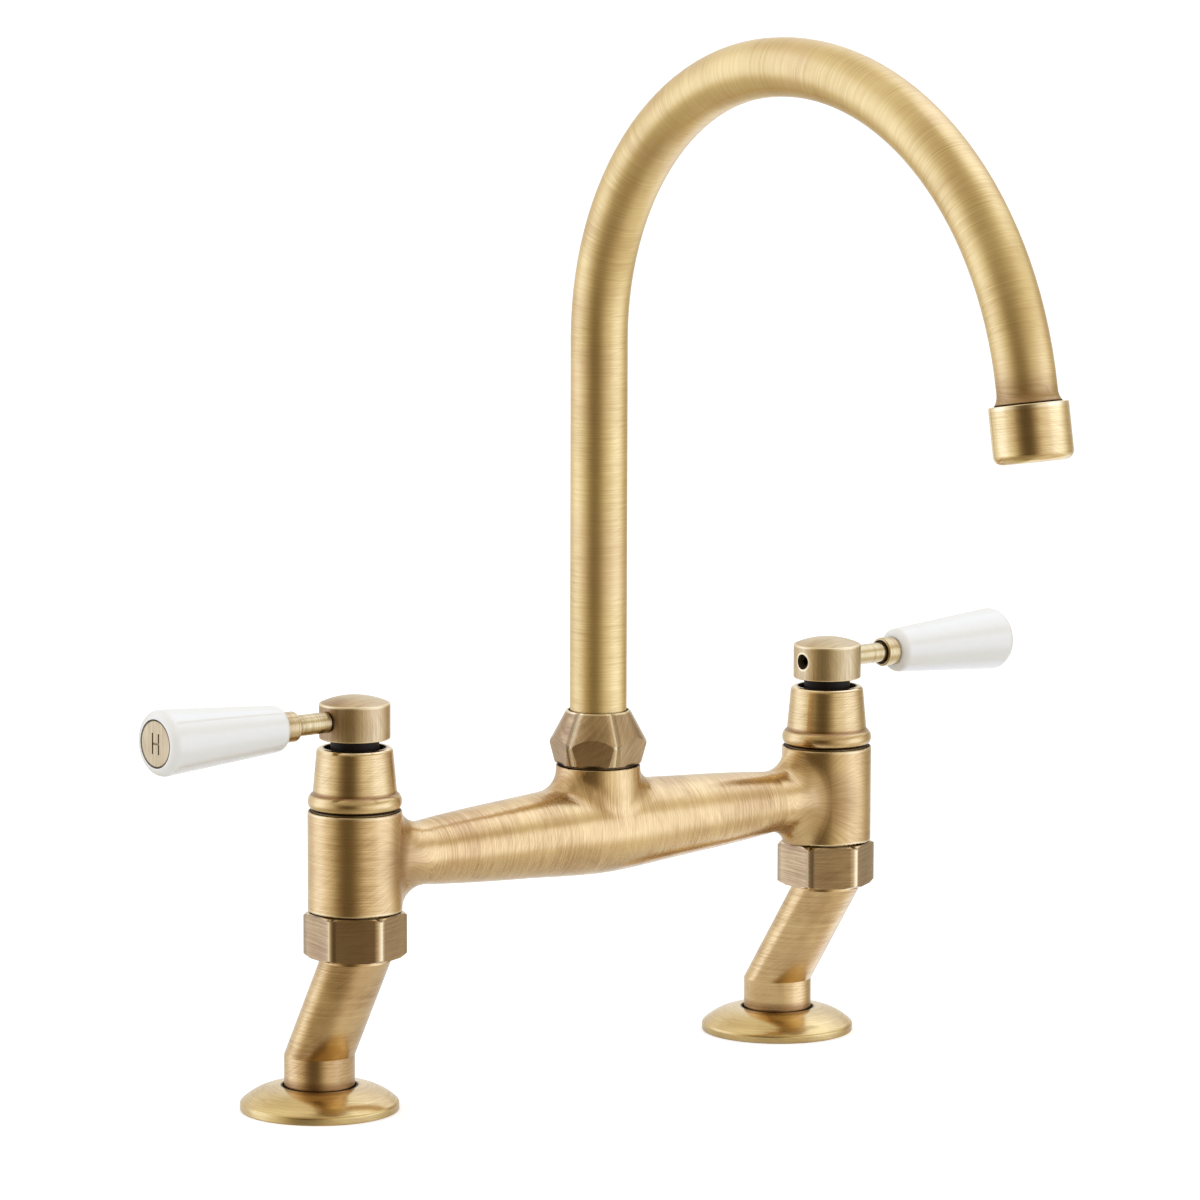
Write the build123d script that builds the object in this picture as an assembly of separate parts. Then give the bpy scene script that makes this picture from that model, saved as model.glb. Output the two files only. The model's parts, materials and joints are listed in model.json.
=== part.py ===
from build123d import *
import os
from math import cos, hypot, radians, sin, tan

# Bridge kitchen faucet. Millimetres. +Z is up, X runs along the bridge, the spout reaches towards -Y.
# The origin is on the deck plane, midway between the two threaded tails. Hot is on -X, cold on +X.

# ---------------------------------------------------------------- driving dimensions
# layout
TAIL_SPACING = 180.0  # between the two deck holes
COLUMN_SPACING = 184.0  # between the two valve columns
CRANK = 19.6  # columns stand this far in front of the tails
BRIDGE_Z = 76.45  # axis of the bridge arm above the deck

# general fits
RUN_FIT = 0.03  # radial clearance of turning fits
THREAD_FIT = 0.05  # radial clearance between drawn thread cylinders
LOOSE_FIT = 0.30  # radial clearance of pieces that only pass through

# valve columns
COLUMN_R = 13.7
COLUMN_BASE_Z = 62.3
COLUMN_TOP_Z = 91.6
COLUMN_EDGE = 0.5
SUPPLY_BORE_R = 7.0
SPIGOT_R = 12.0
SPIGOT_LENGTH = 5.9
CARTRIDGE_SEAT_Z = 66.5
CARTRIDGE_CAVITY_R = 9.6
CARTRIDGE_THREAD_R = 10.45
CARTRIDGE_THREAD_LENGTH = 7.6

# bridge arm and spout boss
ARM_MID_R = 13.8
ARM_SHOULDER_R = 12.55
ARM_SHOULDER_X = 24.0
ARM_WAIST_R = 10.9
ARM_WAIST_X = 50.0
ARM_END_R = 9.35
ARM_BORE_R = 5.5
ROOT_LENGTH = 10.5  # straight end of the arm outside the column's wall
ROOT_BLEND_R = 10.0  # concave blend from the arm into the column, cut off level with its rims
BOSS_R = 12.6
BOSS_TOP_Z = 95.35
BOSS_FLARE_R = 9.0
BOSS_EDGE = 0.3
STUB_R = 11.0
STUB_LENGTH = 7.65

# bonnets
BEAD_R = 13.65
BEAD_BASE_Z = 92.2
BEAD_TOP_Z = 96.9
BONNET_FOOT_R = 12.7
BONNET_BASE_R = 12.2
BONNET_TOP_R = 11.0
BONNET_TOP_Z = 110.1
BONNET_MOUTH_R = 8.9
BONNET_ROUND = 1.3
BONNET_WALL = 1.5
BONNET_RING_R = 11.8
BONNET_RING_HEIGHT = 3.4

# quarter-turn cartridges
BARREL_R = 9.3
BARREL_WALL = 1.1
BARREL_ROOF = 1.0  # below the cartridge's thread
GLAND_R = 7.4
GLAND_TOP_Z = 103.5
SPINDLE_R = 4.95
SPLINE_R = 4.0
SPLINE_DEPTH = 0.4
SPLINE_TEETH = 20
DISC_THICKNESS = 3.0
DISC_FIT = 0.1
SEAT_SEAL_HEIGHT = 2.1
SEAT_SEAL_BORE_R = 5.8
PORT_INNER_R = 2.6
PORT_OUTER_R = 6.4
PORT_SWEEP = 76.0
DRIVER_WIDTH = 4.0
DRIVER_HEIGHT = 3.0
LUG_LENGTH = 2.4
LUG_WIDTH = 2.0
LUG_DEPTH = 1.2
LUG_OFFSET = 5.2
WINDOW_COUNT = 4
WINDOW_WIDTH = 6.5
WINDOW_HEIGHT = 5.0
WINDOW_SILL = 0.9  # above the turning disc
SPINDLE_SEAL_SECTION_R = 0.75
SPINDLE_SEAL_PITCH = 7.0
SPINDLE_SEAL_RISE = 4.0  # first seal above the cartridge thread's foot
THRUST_SHOULDER = 1.3
NECK_SLEEVE_R = 7.05

# lever handles
HUB_R = 10.3
HUB_BASE_Z = 112.6
HUB_SIDE_HEIGHT = 10.3
HUB_DOME = 2.3
HUB_EDGE = 0.45
HUB_ROOF = 1.8  # between the spindle's end and the hub's shoulder
LEVER_Z = 118.3
STEM_R = 3.05
STEM_SOCKET = 3.2
COLLAR_START = 22.2
COLLAR_LENGTH = 5.1
COLLAR_R = 4.4
COLLAR_EDGE = 0.6
ROD_R = 2.0
ROD_INSET = 1.4  # the rod ends this far behind the cap's floor
GRIP_LENGTH = 44.0
GRIP_NARROW_R = 6.6
GRIP_WIDE_R = 9.7
GRIP_NARROW_ROUND = 2.4
GRIP_WIDE_ROUND = 2.6
CAP_R = 6.85
CAP_THICKNESS = 1.2
CAP_BOSS_R = 3.2
CAP_BOSS_LENGTH = 5.5
CAP_GAP = 0.15
LETTER_HEIGHT = 6.0
LETTER_WIDTH = 3.4
LETTER_STROKE = 0.6
LETTER_DEPTH = 0.3
LETTER_GAP = 3.6  # opening of the round letter
GRUB_R = 2.3
GRUB_LENGTH = 4.6
GRUB_SOCKET_AF = 2.5
GRUB_SOCKET_DEPTH = 2.2

# spout
TUBE_R = 8.45
TUBE_WALL = 1.15
TUBE_START_Z = 107.0
RISE_TOP_Z = 222.7
BEND_RADII = (83.45, 98.4, 102.9)
BEND_ANGLES = (81.5, 75.4, 13.6)
SPOUT_TURN = -0.7  # the swivelling spout stands this far from square to the bridge
TAIL_BASE_Z = 83.0
TAIL_WALL = 2.6
TAIL_SOCKET = 9.0
SPOUT_SEAL_SECTION_R = 0.9
SPOUT_SEAL_Z = (88.0, 93.2)
SWIVEL_RING_R = 10.5
SWIVEL_RING_HEIGHT = 1.9
SWIVEL_GROOVE_DEPTH = 0.95
SWIVEL_PLAY = 0.1
SWIVEL_SLIT = 1.5

# spout nut
SPOUT_NUT_BASE_Z = 96.1
SPOUT_NUT_TOP_Z = 111.8
SPOUT_NUT_WAIST_Z = 102.3
SPOUT_NUT_BASE_R = 12.9
SPOUT_NUT_WAIST_R = 14.55
SPOUT_NUT_TOP_R = 9.5
SPOUT_NUT_ROUND = 1.6
SPOUT_NUT_FOOT_ROUND = 0.5
SPOUT_NUT_BASE_FLATS = 24.2  # across the lens-shaped flats at the nut's foot
SPOUT_NUT_WAIST_FLATS = 26.1  # across the same flats at the nut's widest ring
SPOUT_NUT_TURN = 43.0

# outlet, measured along the outlet axis from the end of the bent tube
FLARE_START = 0.8
FLARE_END = 4.3
FLARE_HOLLOW = 0.25  # how far the flare's curve dips below a straight cone
FLARE_R = 9.6
OUTLET_THREAD_LENGTH = 9.0
HOUSING_R = 11.15
HOUSING_LENGTH = 16.0
HOUSING_ROUND = 2.6
HOUSING_TOP_EDGE = 0.35
HOUSING_TOP_RECESS = 0.9
HOUSING_LIP = 1.7
HOUSING_MOUTH_R = 8.4
AERATOR_WASHER_HEIGHT = 1.5
AERATOR_HOLE_R = 0.62
AERATOR_HOLE_PITCH = 2.1
AERATOR_HOLE_RINGS = 3
AERATOR_FACE_DEPTH = 1.0

# unions
UNION_FLATS = 26.0
UNION_HEIGHT = 13.0
UNION_GAP = 0.4  # between the nut and the column above it
UNION_CHAMFER = 1.5
UNION_LIP_THICKNESS = 1.5
UNION_MOUTH_R = 12.0
HOT_UNION_TURN = 52.0
COLD_UNION_TURN = 57.0
UNION_WASHER_HEIGHT = 1.5
LEG_COLLAR_R = 11.2
LEG_COLLAR_HEIGHT = 2.0

# legs and tails
LEG_R = 10.4
LEG_BORE_R = 7.4
LEG_GAP = 0.45  # between the leg and the flange's mouth
UPPER_ELBOW_DROP = 1.3  # elbow centre below the nut's lower face
LOWER_ELBOW_Z = 16.4
TAIL_THREAD_R = 10.4775
THREAD_PITCH = 1.814
THREAD_DEPTH = 1.162
THREAD_HALF_ANGLE = 27.5
THREAD_TOP_Z = 4.6
CLAMP_THREAD_TURNS = 23
RELIEF_LENGTH = 2.2
INLET_LENGTH = 16.0
INLET_CHAMFER = 1.0

# deck fixings
FLANGE_R = 23.35
FLANGE_RIM = 2.3
FLANGE_RIM_ROUND = 1.1
FLANGE_TOP_Z = 7.3
FLANGE_CROWN = 1.4  # how far the dome bulges over a straight cone
FLANGE_FOOT_ROUND = 0.4
FLANGE_SKIRT = 2.85  # how wide the rim stands on the deck around the gasket
GASKET_HEIGHT = 1.5
GASKET_INNER_R = 13.0
GASKET_RECESS_R = FLANGE_R - FLANGE_SKIRT
GASKET_FIT = 0.05
DECK_THICKNESS = 20.0
BACKNUT_WASHER_R = 17.0
BACKNUT_WASHER_HEIGHT = 1.5
BACKNUT_FLATS = 28.0
BACKNUT_HEIGHT = 6.5
BACKNUT_CHAMFER = 1.2

# ---------------------------------------------------------------- derived places
BRIDGE_Y = -CRANK
SPIGOT_END_Z = COLUMN_BASE_Z - SPIGOT_LENGTH
UNION_TOP_Z = COLUMN_BASE_Z - UNION_GAP
UNION_BASE_Z = UNION_TOP_Z - UNION_HEIGHT
LEG_COLLAR_TOP_Z = SPIGOT_END_Z - UNION_WASHER_HEIGHT
UNION_LIP_Z = LEG_COLLAR_TOP_Z - LEG_COLLAR_HEIGHT
UPPER_ELBOW_Z = UNION_BASE_Z - UPPER_ELBOW_DROP
CARTRIDGE_THREAD_Z = COLUMN_TOP_Z - CARTRIDGE_THREAD_LENGTH
BARREL_BASE_Z = CARTRIDGE_SEAT_Z + SEAT_SEAL_HEIGHT
BARREL_BORE_R = BARREL_R - BARREL_WALL
DISC_FACE_Z = BARREL_BASE_Z + DISC_THICKNESS
DISC_TOP_Z = DISC_FACE_Z + DISC_THICKNESS
CHAMBER_TOP_Z = CARTRIDGE_THREAD_Z - BARREL_ROOF
SPINDLE_BORE_R = SPINDLE_R + RUN_FIT
HUB_SHOULDER_Z = HUB_BASE_Z + HUB_SIDE_HEIGHT
SPLINE_TOP_Z = HUB_SHOULDER_Z - HUB_ROOF
GRIP_START = COLLAR_START + COLLAR_LENGTH
GRIP_END = GRIP_START + GRIP_LENGTH
CAP_RECESS_DEPTH = CAP_THICKNESS + CAP_GAP
ROD_END = GRIP_END - CAP_RECESS_DEPTH - ROD_INSET
TUBE_BORE_R = TUBE_R - TUBE_WALL
BOSS_BORE_R = TUBE_R + RUN_FIT
STUB_TOP_Z = BOSS_TOP_Z + STUB_LENGTH
SWIVEL_RING_Z = STUB_TOP_Z + SWIVEL_PLAY
SPOUT_NUT_SHOULDER_Z = SWIVEL_RING_Z + SWIVEL_RING_HEIGHT + SWIVEL_PLAY
OUTLET_THREAD_END = FLARE_END + OUTLET_THREAD_LENGTH
HOUSING_END = FLARE_END + HOUSING_LENGTH
HOUSING_BORE_R = FLARE_R + THREAD_FIT
CLAMP_THREAD_BASE_Z = THREAD_TOP_Z - CLAMP_THREAD_TURNS * THREAD_PITCH
INLET_TOP_Z = CLAMP_THREAD_BASE_Z - RELIEF_LENGTH
TAIL_END_Z = INLET_TOP_Z - INLET_LENGTH
TAIL_ROOT_R = TAIL_THREAD_R - THREAD_DEPTH
BACKNUT_TOP_Z = -DECK_THICKNESS - BACKNUT_WASHER_HEIGHT
SIDES = {"hot": -1, "cold": 1}


# ---------------------------------------------------------------- helpers
def turned(*edges):
    """A solid of revolution about Z. The edges form a closed outline in the (radius, z) half plane."""
    outline = make_face(Plane.XZ * Curve(list(edges)))
    return revolve(outline, Axis.Z)


def turned_polygon(points):
    """A solid of revolution about Z from straight runs through (radius, z) points."""
    return turned(*Polyline(*points, close=True).edges())


def ring(outer_r, inner_r, base_z, top_z):
    """A flat ring or tube about Z."""
    return turned_polygon([(inner_r, base_z), (outer_r, base_z), (outer_r, top_z), (inner_r, top_z)])


def rod(radius, base_z, top_z):
    """A plain cylinder about Z."""
    height = top_z - base_z
    return Pos(0, 0, base_z + height / 2) * Cylinder(radius, height)


def o_ring(centre_r, section_r, centre_z):
    """A round-section seal about Z."""
    return Pos(0, 0, centre_z) * Torus(centre_r, section_r)


def hexagon_outline(flats):
    """A hexagon with one pair of flats square to X."""
    return RegularPolygon(flats / 2, 6, major_radius=False, rotation=30)


def hexagon(flats, base_z, top_z):
    """A hexagonal prism about Z with one pair of flats square to X."""
    return Pos(0, 0, base_z) * extrude(hexagon_outline(flats), top_z - base_z)


def hex_nut_blank(flats, base_z, top_z, chamfer_width):
    """A hexagon whose corners are turned away at both ends."""
    corner_r = flats / 2 / cos(radians(30))
    rise = chamfer_width * tan(radians(30))
    end_r = corner_r - chamfer_width
    points = [(0, base_z), (end_r, base_z), (corner_r, base_z + rise)]
    points += [(corner_r, top_z - rise), (end_r, top_z), (0, top_z)]
    return hexagon(flats, base_z, top_z) & turned_polygon(points)


def at_column(side, shape):
    """Move a shape from the column's own axis to the hot or cold column."""
    return Pos(side * COLUMN_SPACING / 2, BRIDGE_Y, 0) * shape


def save(name, shape):
    """Write one named piece."""
    export_step(shape, f"parts/{name}.step")


# ---------------------------------------------------------------- bridge body
def bridge_arm():
    """The arm between the columns, fullest in the middle, turned about its own axis."""
    start_x = COLUMN_SPACING / 2 - COLUMN_R - ROOT_LENGTH
    flank = [(start_x, ARM_END_R), (ARM_WAIST_X, ARM_WAIST_R), (ARM_SHOULDER_X, ARM_SHOULDER_R)]
    crest = [(-x, r) for x, r in flank] + [(0, ARM_MID_R)] + flank[::-1]
    end = [(start_x, ARM_END_R), (start_x, 0)]
    underside = end + [(-x, r) for x, r in end[::-1]]
    outline = make_face(Plane.XZ * Curve([Spline(*crest)] + list(Polyline(*underside).edges())))
    return Pos(0, BRIDGE_Y, BRIDGE_Z) * revolve(outline, Axis.X)


def is_root_joint(edge):
    """True for the seam between a column and the arm along +X."""
    box = edge.bounding_box()
    return box.size.X > 0.5 and 1.5 * ARM_END_R < box.size.Z < 3 * ARM_END_R and 0 < box.center().X < COLUMN_R


def column_post():
    """A column with the blended root of its arm along +X, about the column's axis."""
    height = COLUMN_TOP_Z - COLUMN_BASE_Z
    spare = 2 * ROOT_BLEND_R
    post = rod(COLUMN_R, COLUMN_BASE_Z - spare, COLUMN_TOP_Z + spare)
    length = COLUMN_R + ROOT_LENGTH
    post += Pos(length / 2, 0, BRIDGE_Z) * Rot(0, 90, 0) * Cylinder(ARM_END_R, length)
    post = fillet([e for e in post.edges() if is_root_joint(e)], ROOT_BLEND_R)
    post &= Pos(0, 0, COLUMN_BASE_Z + height / 2) * Box(3 * length, 3 * length, height)
    rims = post.edges().group_by(Axis.Z)
    return fillet(rims[0] + rims[-1], COLUMN_EDGE)


def is_boss_joint(edge):
    """True for the seam between the arm and the spout boss."""
    box = edge.bounding_box()
    return abs(box.center().X) < 1 and 0 < box.size.X < 3 * BOSS_R and 0 < box.size.Z < ARM_MID_R


def water_ways():
    """Everything bored out of the casting."""
    arm_bore = Rot(0, 90, 0) * Cylinder(ARM_BORE_R, COLUMN_SPACING)
    bores = Pos(0, BRIDGE_Y, BRIDGE_Z) * arm_bore
    bores += Pos(0, BRIDGE_Y, 0) * rod(BOSS_BORE_R, TAIL_BASE_Z - LOOSE_FIT, STUB_TOP_Z)
    bores += Pos(0, BRIDGE_Y, 0) * rod(TUBE_BORE_R, BRIDGE_Z, TAIL_BASE_Z)
    thread_r = CARTRIDGE_THREAD_R + THREAD_FIT
    for side in SIDES.values():
        bores += at_column(side, rod(SUPPLY_BORE_R, SPIGOT_END_Z, CARTRIDGE_SEAT_Z))
        bores += at_column(side, rod(CARTRIDGE_CAVITY_R, CARTRIDGE_SEAT_Z, CARTRIDGE_THREAD_Z))
        bores += at_column(side, rod(thread_r, CARTRIDGE_THREAD_Z, COLUMN_TOP_Z))
    return bores


def bridge_body():
    """Both columns, the arm and the spout boss as one casting, bored for water, cartridges and spout."""
    body = bridge_arm()
    for side in SIDES.values():
        body += at_column(side, Rot(0, 0, 90 + 90 * side) * column_post())
    boss = rod(BOSS_R, BRIDGE_Z, BOSS_TOP_Z)
    boss = fillet(boss.edges().group_by(Axis.Z)[-1], BOSS_EDGE)
    body += Pos(0, BRIDGE_Y, 0) * boss
    body = fillet([e for e in body.edges() if is_boss_joint(e)], BOSS_FLARE_R)
    body += Pos(0, BRIDGE_Y, 0) * rod(STUB_R, BRIDGE_Z, STUB_TOP_Z)
    for side in SIDES.values():
        body += at_column(side, rod(SPIGOT_R, SPIGOT_END_Z, COLUMN_BASE_Z))
    return body - water_ways()


# ---------------------------------------------------------------- cartridges and bonnets
def seat_seal():
    """The rubber ring that the cartridge presses on its seat."""
    return ring(BARREL_R, SEAT_SEAL_BORE_R, CARTRIDGE_SEAT_Z, BARREL_BASE_Z)


def sector(turn, base_z, top_z):
    """A water port: a ring sector centred on the angle turn."""
    arms = [(cos(radians(a)), sin(radians(a))) for a in (-PORT_SWEEP / 2, PORT_SWEEP / 2)]
    starts = [(PORT_INNER_R * x, PORT_INNER_R * y) for x, y in arms]
    ends = [(PORT_OUTER_R * x, PORT_OUTER_R * y) for x, y in arms]
    outline = Curve([
        Line(starts[0], ends[0]),
        ThreePointArc(ends[0], (PORT_OUTER_R, 0), ends[1]),
        Line(ends[1], starts[1]),
        ThreePointArc(starts[1], (PORT_INNER_R, 0), starts[0]),
    ])
    return Rot(0, 0, turn) * (Pos(0, 0, base_z) * extrude(make_face(outline), top_z - base_z))


def ceramic_disc(base_z, port_turn):
    """A ceramic disc with two opposite ports."""
    top_z = base_z + DISC_THICKNESS
    disc = rod(BARREL_BORE_R - DISC_FIT, base_z, top_z)
    for turn in (port_turn, port_turn + 180):
        disc -= sector(turn, base_z, top_z)
    return disc


def driver_lugs(grow):
    """The two lugs that key the spindle into the turning disc."""
    size = (LUG_LENGTH + 2 * grow, LUG_WIDTH + 2 * grow, LUG_DEPTH + grow)
    lug = Box(*size, align=(Align.CENTER, Align.CENTER, Align.MAX))
    return [Pos(x, 0, DISC_TOP_Z) * lug for x in (-LUG_OFFSET, LUG_OFFSET)]


def fixed_disc():
    """The lower disc, held still by the barrel, ports along the lever when closed."""
    return ceramic_disc(BARREL_BASE_Z, 0)


def turning_disc():
    """The upper disc, ports across the lever, so that a quarter turn lines the ports up."""
    disc = ceramic_disc(DISC_FACE_Z, 90)
    for pocket in driver_lugs(DISC_FIT):
        disc -= pocket
    return disc


def cartridge_body():
    """Barrel with side windows, thread, bonnet ring and gland, bored for the spindle."""
    ring_top_z = COLUMN_TOP_Z + BONNET_RING_HEIGHT
    body = turned_polygon([
        (SPINDLE_BORE_R, GLAND_TOP_Z), (GLAND_R, GLAND_TOP_Z), (GLAND_R, ring_top_z),
        (BONNET_RING_R, ring_top_z), (BONNET_RING_R, COLUMN_TOP_Z),
        (CARTRIDGE_THREAD_R, COLUMN_TOP_Z), (CARTRIDGE_THREAD_R, CARTRIDGE_THREAD_Z),
        (BARREL_R, CARTRIDGE_THREAD_Z), (BARREL_R, BARREL_BASE_Z),
        (BARREL_BORE_R, BARREL_BASE_Z), (BARREL_BORE_R, CHAMBER_TOP_Z), (SPINDLE_BORE_R, CHAMBER_TOP_Z),
    ])
    window = Box(2 * BARREL_R, WINDOW_WIDTH, WINDOW_HEIGHT, align=(Align.MIN, Align.CENTER, Align.MIN))
    for k in range(WINDOW_COUNT):
        body -= Rot(0, 0, k * 360 / WINDOW_COUNT) * (Pos(0, 0, DISC_TOP_Z + WINDOW_SILL) * window)
    return body


def spline_shaft(base_z, top_z):
    """The serrated end of the spindle."""
    radii = (SPLINE_R, SPLINE_R - SPLINE_DEPTH)
    step = radians(180 / SPLINE_TEETH)
    star = [(radii[k % 2] * cos(k * step), radii[k % 2] * sin(k * step)) for k in range(2 * SPLINE_TEETH)]
    return Pos(0, 0, base_z) * extrude(make_face(Polyline(*star, close=True)), top_z - base_z)


def spindle_seal_heights():
    """Centre heights of the two spindle seals."""
    first = CARTRIDGE_THREAD_Z + SPINDLE_SEAL_RISE
    return [first, first + SPINDLE_SEAL_PITCH]


def spindle():
    """Driver bar with lugs, sealed shaft with a thrust shoulder, and serrated end."""
    bar_top_z = DISC_TOP_Z + DRIVER_HEIGHT
    reach = BARREL_BORE_R - LOOSE_FIT
    bar = Pos(0, 0, DISC_TOP_Z + DRIVER_HEIGHT / 2) * Box(2 * reach, DRIVER_WIDTH, DRIVER_HEIGHT)
    shaft = bar & rod(reach, DISC_TOP_Z, bar_top_z)
    for lug in driver_lugs(0):
        shaft += lug
    shaft += rod(SPINDLE_R, bar_top_z, GLAND_TOP_Z)
    shoulder_top_z = CHAMBER_TOP_Z - DISC_FIT
    shaft += rod(SPINDLE_R + THRUST_SHOULDER, shoulder_top_z - THRUST_SHOULDER, shoulder_top_z)
    for z in spindle_seal_heights():
        half = SPINDLE_SEAL_SECTION_R + RUN_FIT
        shaft -= ring(SPINDLE_R, SPINDLE_R - 2 * SPINDLE_SEAL_SECTION_R, z - half, z + half)
    return shaft + spline_shaft(GLAND_TOP_Z, SPLINE_TOP_Z)


def spindle_seals():
    """Two round seals in the spindle's grooves."""
    centre_r = SPINDLE_R - SPINDLE_SEAL_SECTION_R
    return [o_ring(centre_r, SPINDLE_SEAL_SECTION_R, z) for z in spindle_seal_heights()]


def bonnet():
    """The tapered cover over the cartridge: beaded foot, cone and rounded mouth."""
    inner_top_r = BONNET_TOP_R - BONNET_WALL
    ring_r = BONNET_RING_R + THREAD_FIT
    step_z = COLUMN_TOP_Z + BONNET_RING_HEIGHT + DISC_FIT
    lip_z = BONNET_TOP_Z - BONNET_WALL
    bead = ThreePointArc((BONNET_FOOT_R, BEAD_BASE_Z), (BEAD_R, (BEAD_BASE_Z + BEAD_TOP_Z) / 2),
                         (BONNET_BASE_R, BEAD_TOP_Z))
    rest = Polyline((BONNET_BASE_R, BEAD_TOP_Z), (BONNET_TOP_R, BONNET_TOP_Z), (BONNET_MOUTH_R, BONNET_TOP_Z),
                    (BONNET_MOUTH_R, lip_z), (inner_top_r, lip_z), (BONNET_BASE_R - BONNET_WALL, step_z),
                    (ring_r, step_z), (ring_r, COLUMN_TOP_Z), (BONNET_FOOT_R, COLUMN_TOP_Z),
                    (BONNET_FOOT_R, BEAD_BASE_Z))
    cover = turned(bead, *rest.edges())
    rim = [e for e in cover.edges() if is_circle_at(e, BONNET_TOP_R, BONNET_TOP_Z)]
    return fillet(rim, BONNET_ROUND)


def is_circle_at(edge, radius, z):
    """True for a circular edge about Z with this radius and height."""
    box = edge.bounding_box()
    return abs(box.max.Z - z) < 0.01 and box.size.Z < 0.01 and abs(box.max.X - radius) < 0.01


# ---------------------------------------------------------------- lever handles, built pointing along +X
def along_x(shape):
    """Lay a shape turned about Z onto the lever's axis, its height becoming the distance from the hub."""
    return Pos(0, 0, LEVER_Z) * (Rot(0, 90, 0) * shape)


def neck_sleeve():
    """The black sleeve round the spindle between the gland and the hub."""
    return ring(NECK_SLEEVE_R, SPLINE_R + THREAD_FIT, GLAND_TOP_Z + LOOSE_FIT, HUB_BASE_Z)


def lever_hub():
    """The round hub: domed top, spindle bore, stem socket and the grub screw's hole opposite the stem."""
    apex_z = HUB_SHOULDER_Z + HUB_DOME
    chord_r = HUB_R / 2
    sphere_r = (HUB_R ** 2 + HUB_DOME ** 2) / (2 * HUB_DOME)
    middle_z = apex_z - sphere_r + (sphere_r ** 2 - chord_r ** 2) ** 0.5
    dome = ThreePointArc((HUB_R, HUB_SHOULDER_Z), (chord_r, middle_z), (0, apex_z))
    sides = Polyline((0, apex_z), (0, HUB_BASE_Z), (HUB_R, HUB_BASE_Z), (HUB_R, HUB_SHOULDER_Z))
    hub = turned(dome, *sides.edges())
    hub = fillet([e for e in hub.edges() if e.geom_type == GeomType.CIRCLE and e.length > HUB_R], HUB_EDGE)
    hub -= rod(SPLINE_R + THREAD_FIT, HUB_BASE_Z, SPLINE_TOP_Z + THREAD_FIT)
    hub -= along_x(rod(STEM_R, HUB_R - STEM_SOCKET, HUB_R + STEM_R))
    return hub - along_x(rod(GRUB_R + THREAD_FIT, -HUB_R - GRUB_R, 0))


def grub_screw():
    """The socket set screw that locks the hub to the spindle."""
    tip = -SPLINE_R - THREAD_FIT
    screw = rod(GRUB_R, tip - GRUB_LENGTH, tip)
    return along_x(screw - hexagon(GRUB_SOCKET_AF, tip - GRUB_LENGTH, tip - GRUB_LENGTH + GRUB_SOCKET_DEPTH))


def lever_stem():
    """The stem with its collar, and the thin rod that runs through the grip."""
    collar = rod(COLLAR_R, COLLAR_START, GRIP_START)
    collar = fillet(collar.edges().filter_by(GeomType.CIRCLE), COLLAR_EDGE)
    stem = rod(STEM_R, HUB_R - STEM_SOCKET, COLLAR_START + COLLAR_EDGE)
    return along_x(stem + collar + rod(ROD_R, GRIP_START - COLLAR_EDGE, ROD_END))


def grip():
    """The tapered ceramic grip, bored for the rod and recessed for the index cap."""
    outline = [(0, GRIP_START), (GRIP_NARROW_R, GRIP_START), (GRIP_WIDE_R, GRIP_END), (0, GRIP_END)]
    cone = turned_polygon(outline)
    cone = fillet([e for e in cone.edges() if is_circle_at(e, GRIP_NARROW_R, GRIP_START)], GRIP_NARROW_ROUND)
    cone = fillet([e for e in cone.edges() if is_circle_at(e, GRIP_WIDE_R, GRIP_END)], GRIP_WIDE_ROUND)
    recess_floor = GRIP_END - CAP_RECESS_DEPTH
    cone -= rod(ROD_R + THREAD_FIT, GRIP_START, GRIP_END)
    cone -= rod(CAP_R + CAP_GAP, recess_floor, GRIP_END)
    cone -= rod(CAP_BOSS_R + CAP_GAP, recess_floor - CAP_BOSS_LENGTH - CAP_GAP, GRIP_END)
    return along_x(cone)


def index_letter(side):
    """Plain strokes on the cap's face: H on the hot side, C on the cold side."""
    if side == SIDES["hot"]:
        offset = (LETTER_WIDTH - LETTER_STROKE) / 2
        letter = Rectangle(LETTER_WIDTH, LETTER_STROKE)
        for x in (-offset, offset):
            letter += Pos(x, 0) * Rectangle(LETTER_STROKE, LETTER_HEIGHT)
        return letter
    outer_r = LETTER_HEIGHT / 2
    gap = Pos(outer_r, 0) * Rectangle(outer_r, LETTER_GAP)
    return Circle(outer_r) - Circle(outer_r - LETTER_STROKE) - gap


def index_cap(side):
    """The round cap in the grip's end, screwed on the rod, with its engraved letter."""
    floor = GRIP_END - CAP_RECESS_DEPTH
    face = floor + CAP_THICKNESS
    cap = rod(CAP_R, floor, face) + rod(CAP_BOSS_R, floor - CAP_BOSS_LENGTH, floor)
    cap -= rod(ROD_R + THREAD_FIT, floor - CAP_BOSS_LENGTH, floor)
    front = Plane(origin=(face, 0, LEVER_Z), x_dir=(0, 1, 0), z_dir=(1, 0, 0))
    return along_x(cap) - extrude(front * index_letter(side), -LETTER_DEPTH)


# ---------------------------------------------------------------- spout
def spout_path():
    """The spout's centre line in its own plane: reach is local x, height is local y."""
    runs = [Line((0, TUBE_START_Z), (0, RISE_TOP_Z))]
    for radius, angle in zip(BEND_RADII, BEND_ANGLES):
        runs.append(JernArc(start=runs[-1] @ 1, tangent=runs[-1] % 1, radius=radius, arc_size=-angle))
    plane = Plane(origin=(0, BRIDGE_Y, 0), x_dir=(0, -1, 0), z_dir=(-1, 0, 0))
    return plane * Curve(runs)


def outlet_plane():
    """The outlet's frame: origin at the end of the bent tube, +Z along the falling water."""
    path = Wire(spout_path().edges())
    return Plane(origin=path @ 1, x_dir=(1, 0, 0), z_dir=path % 1)


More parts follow.
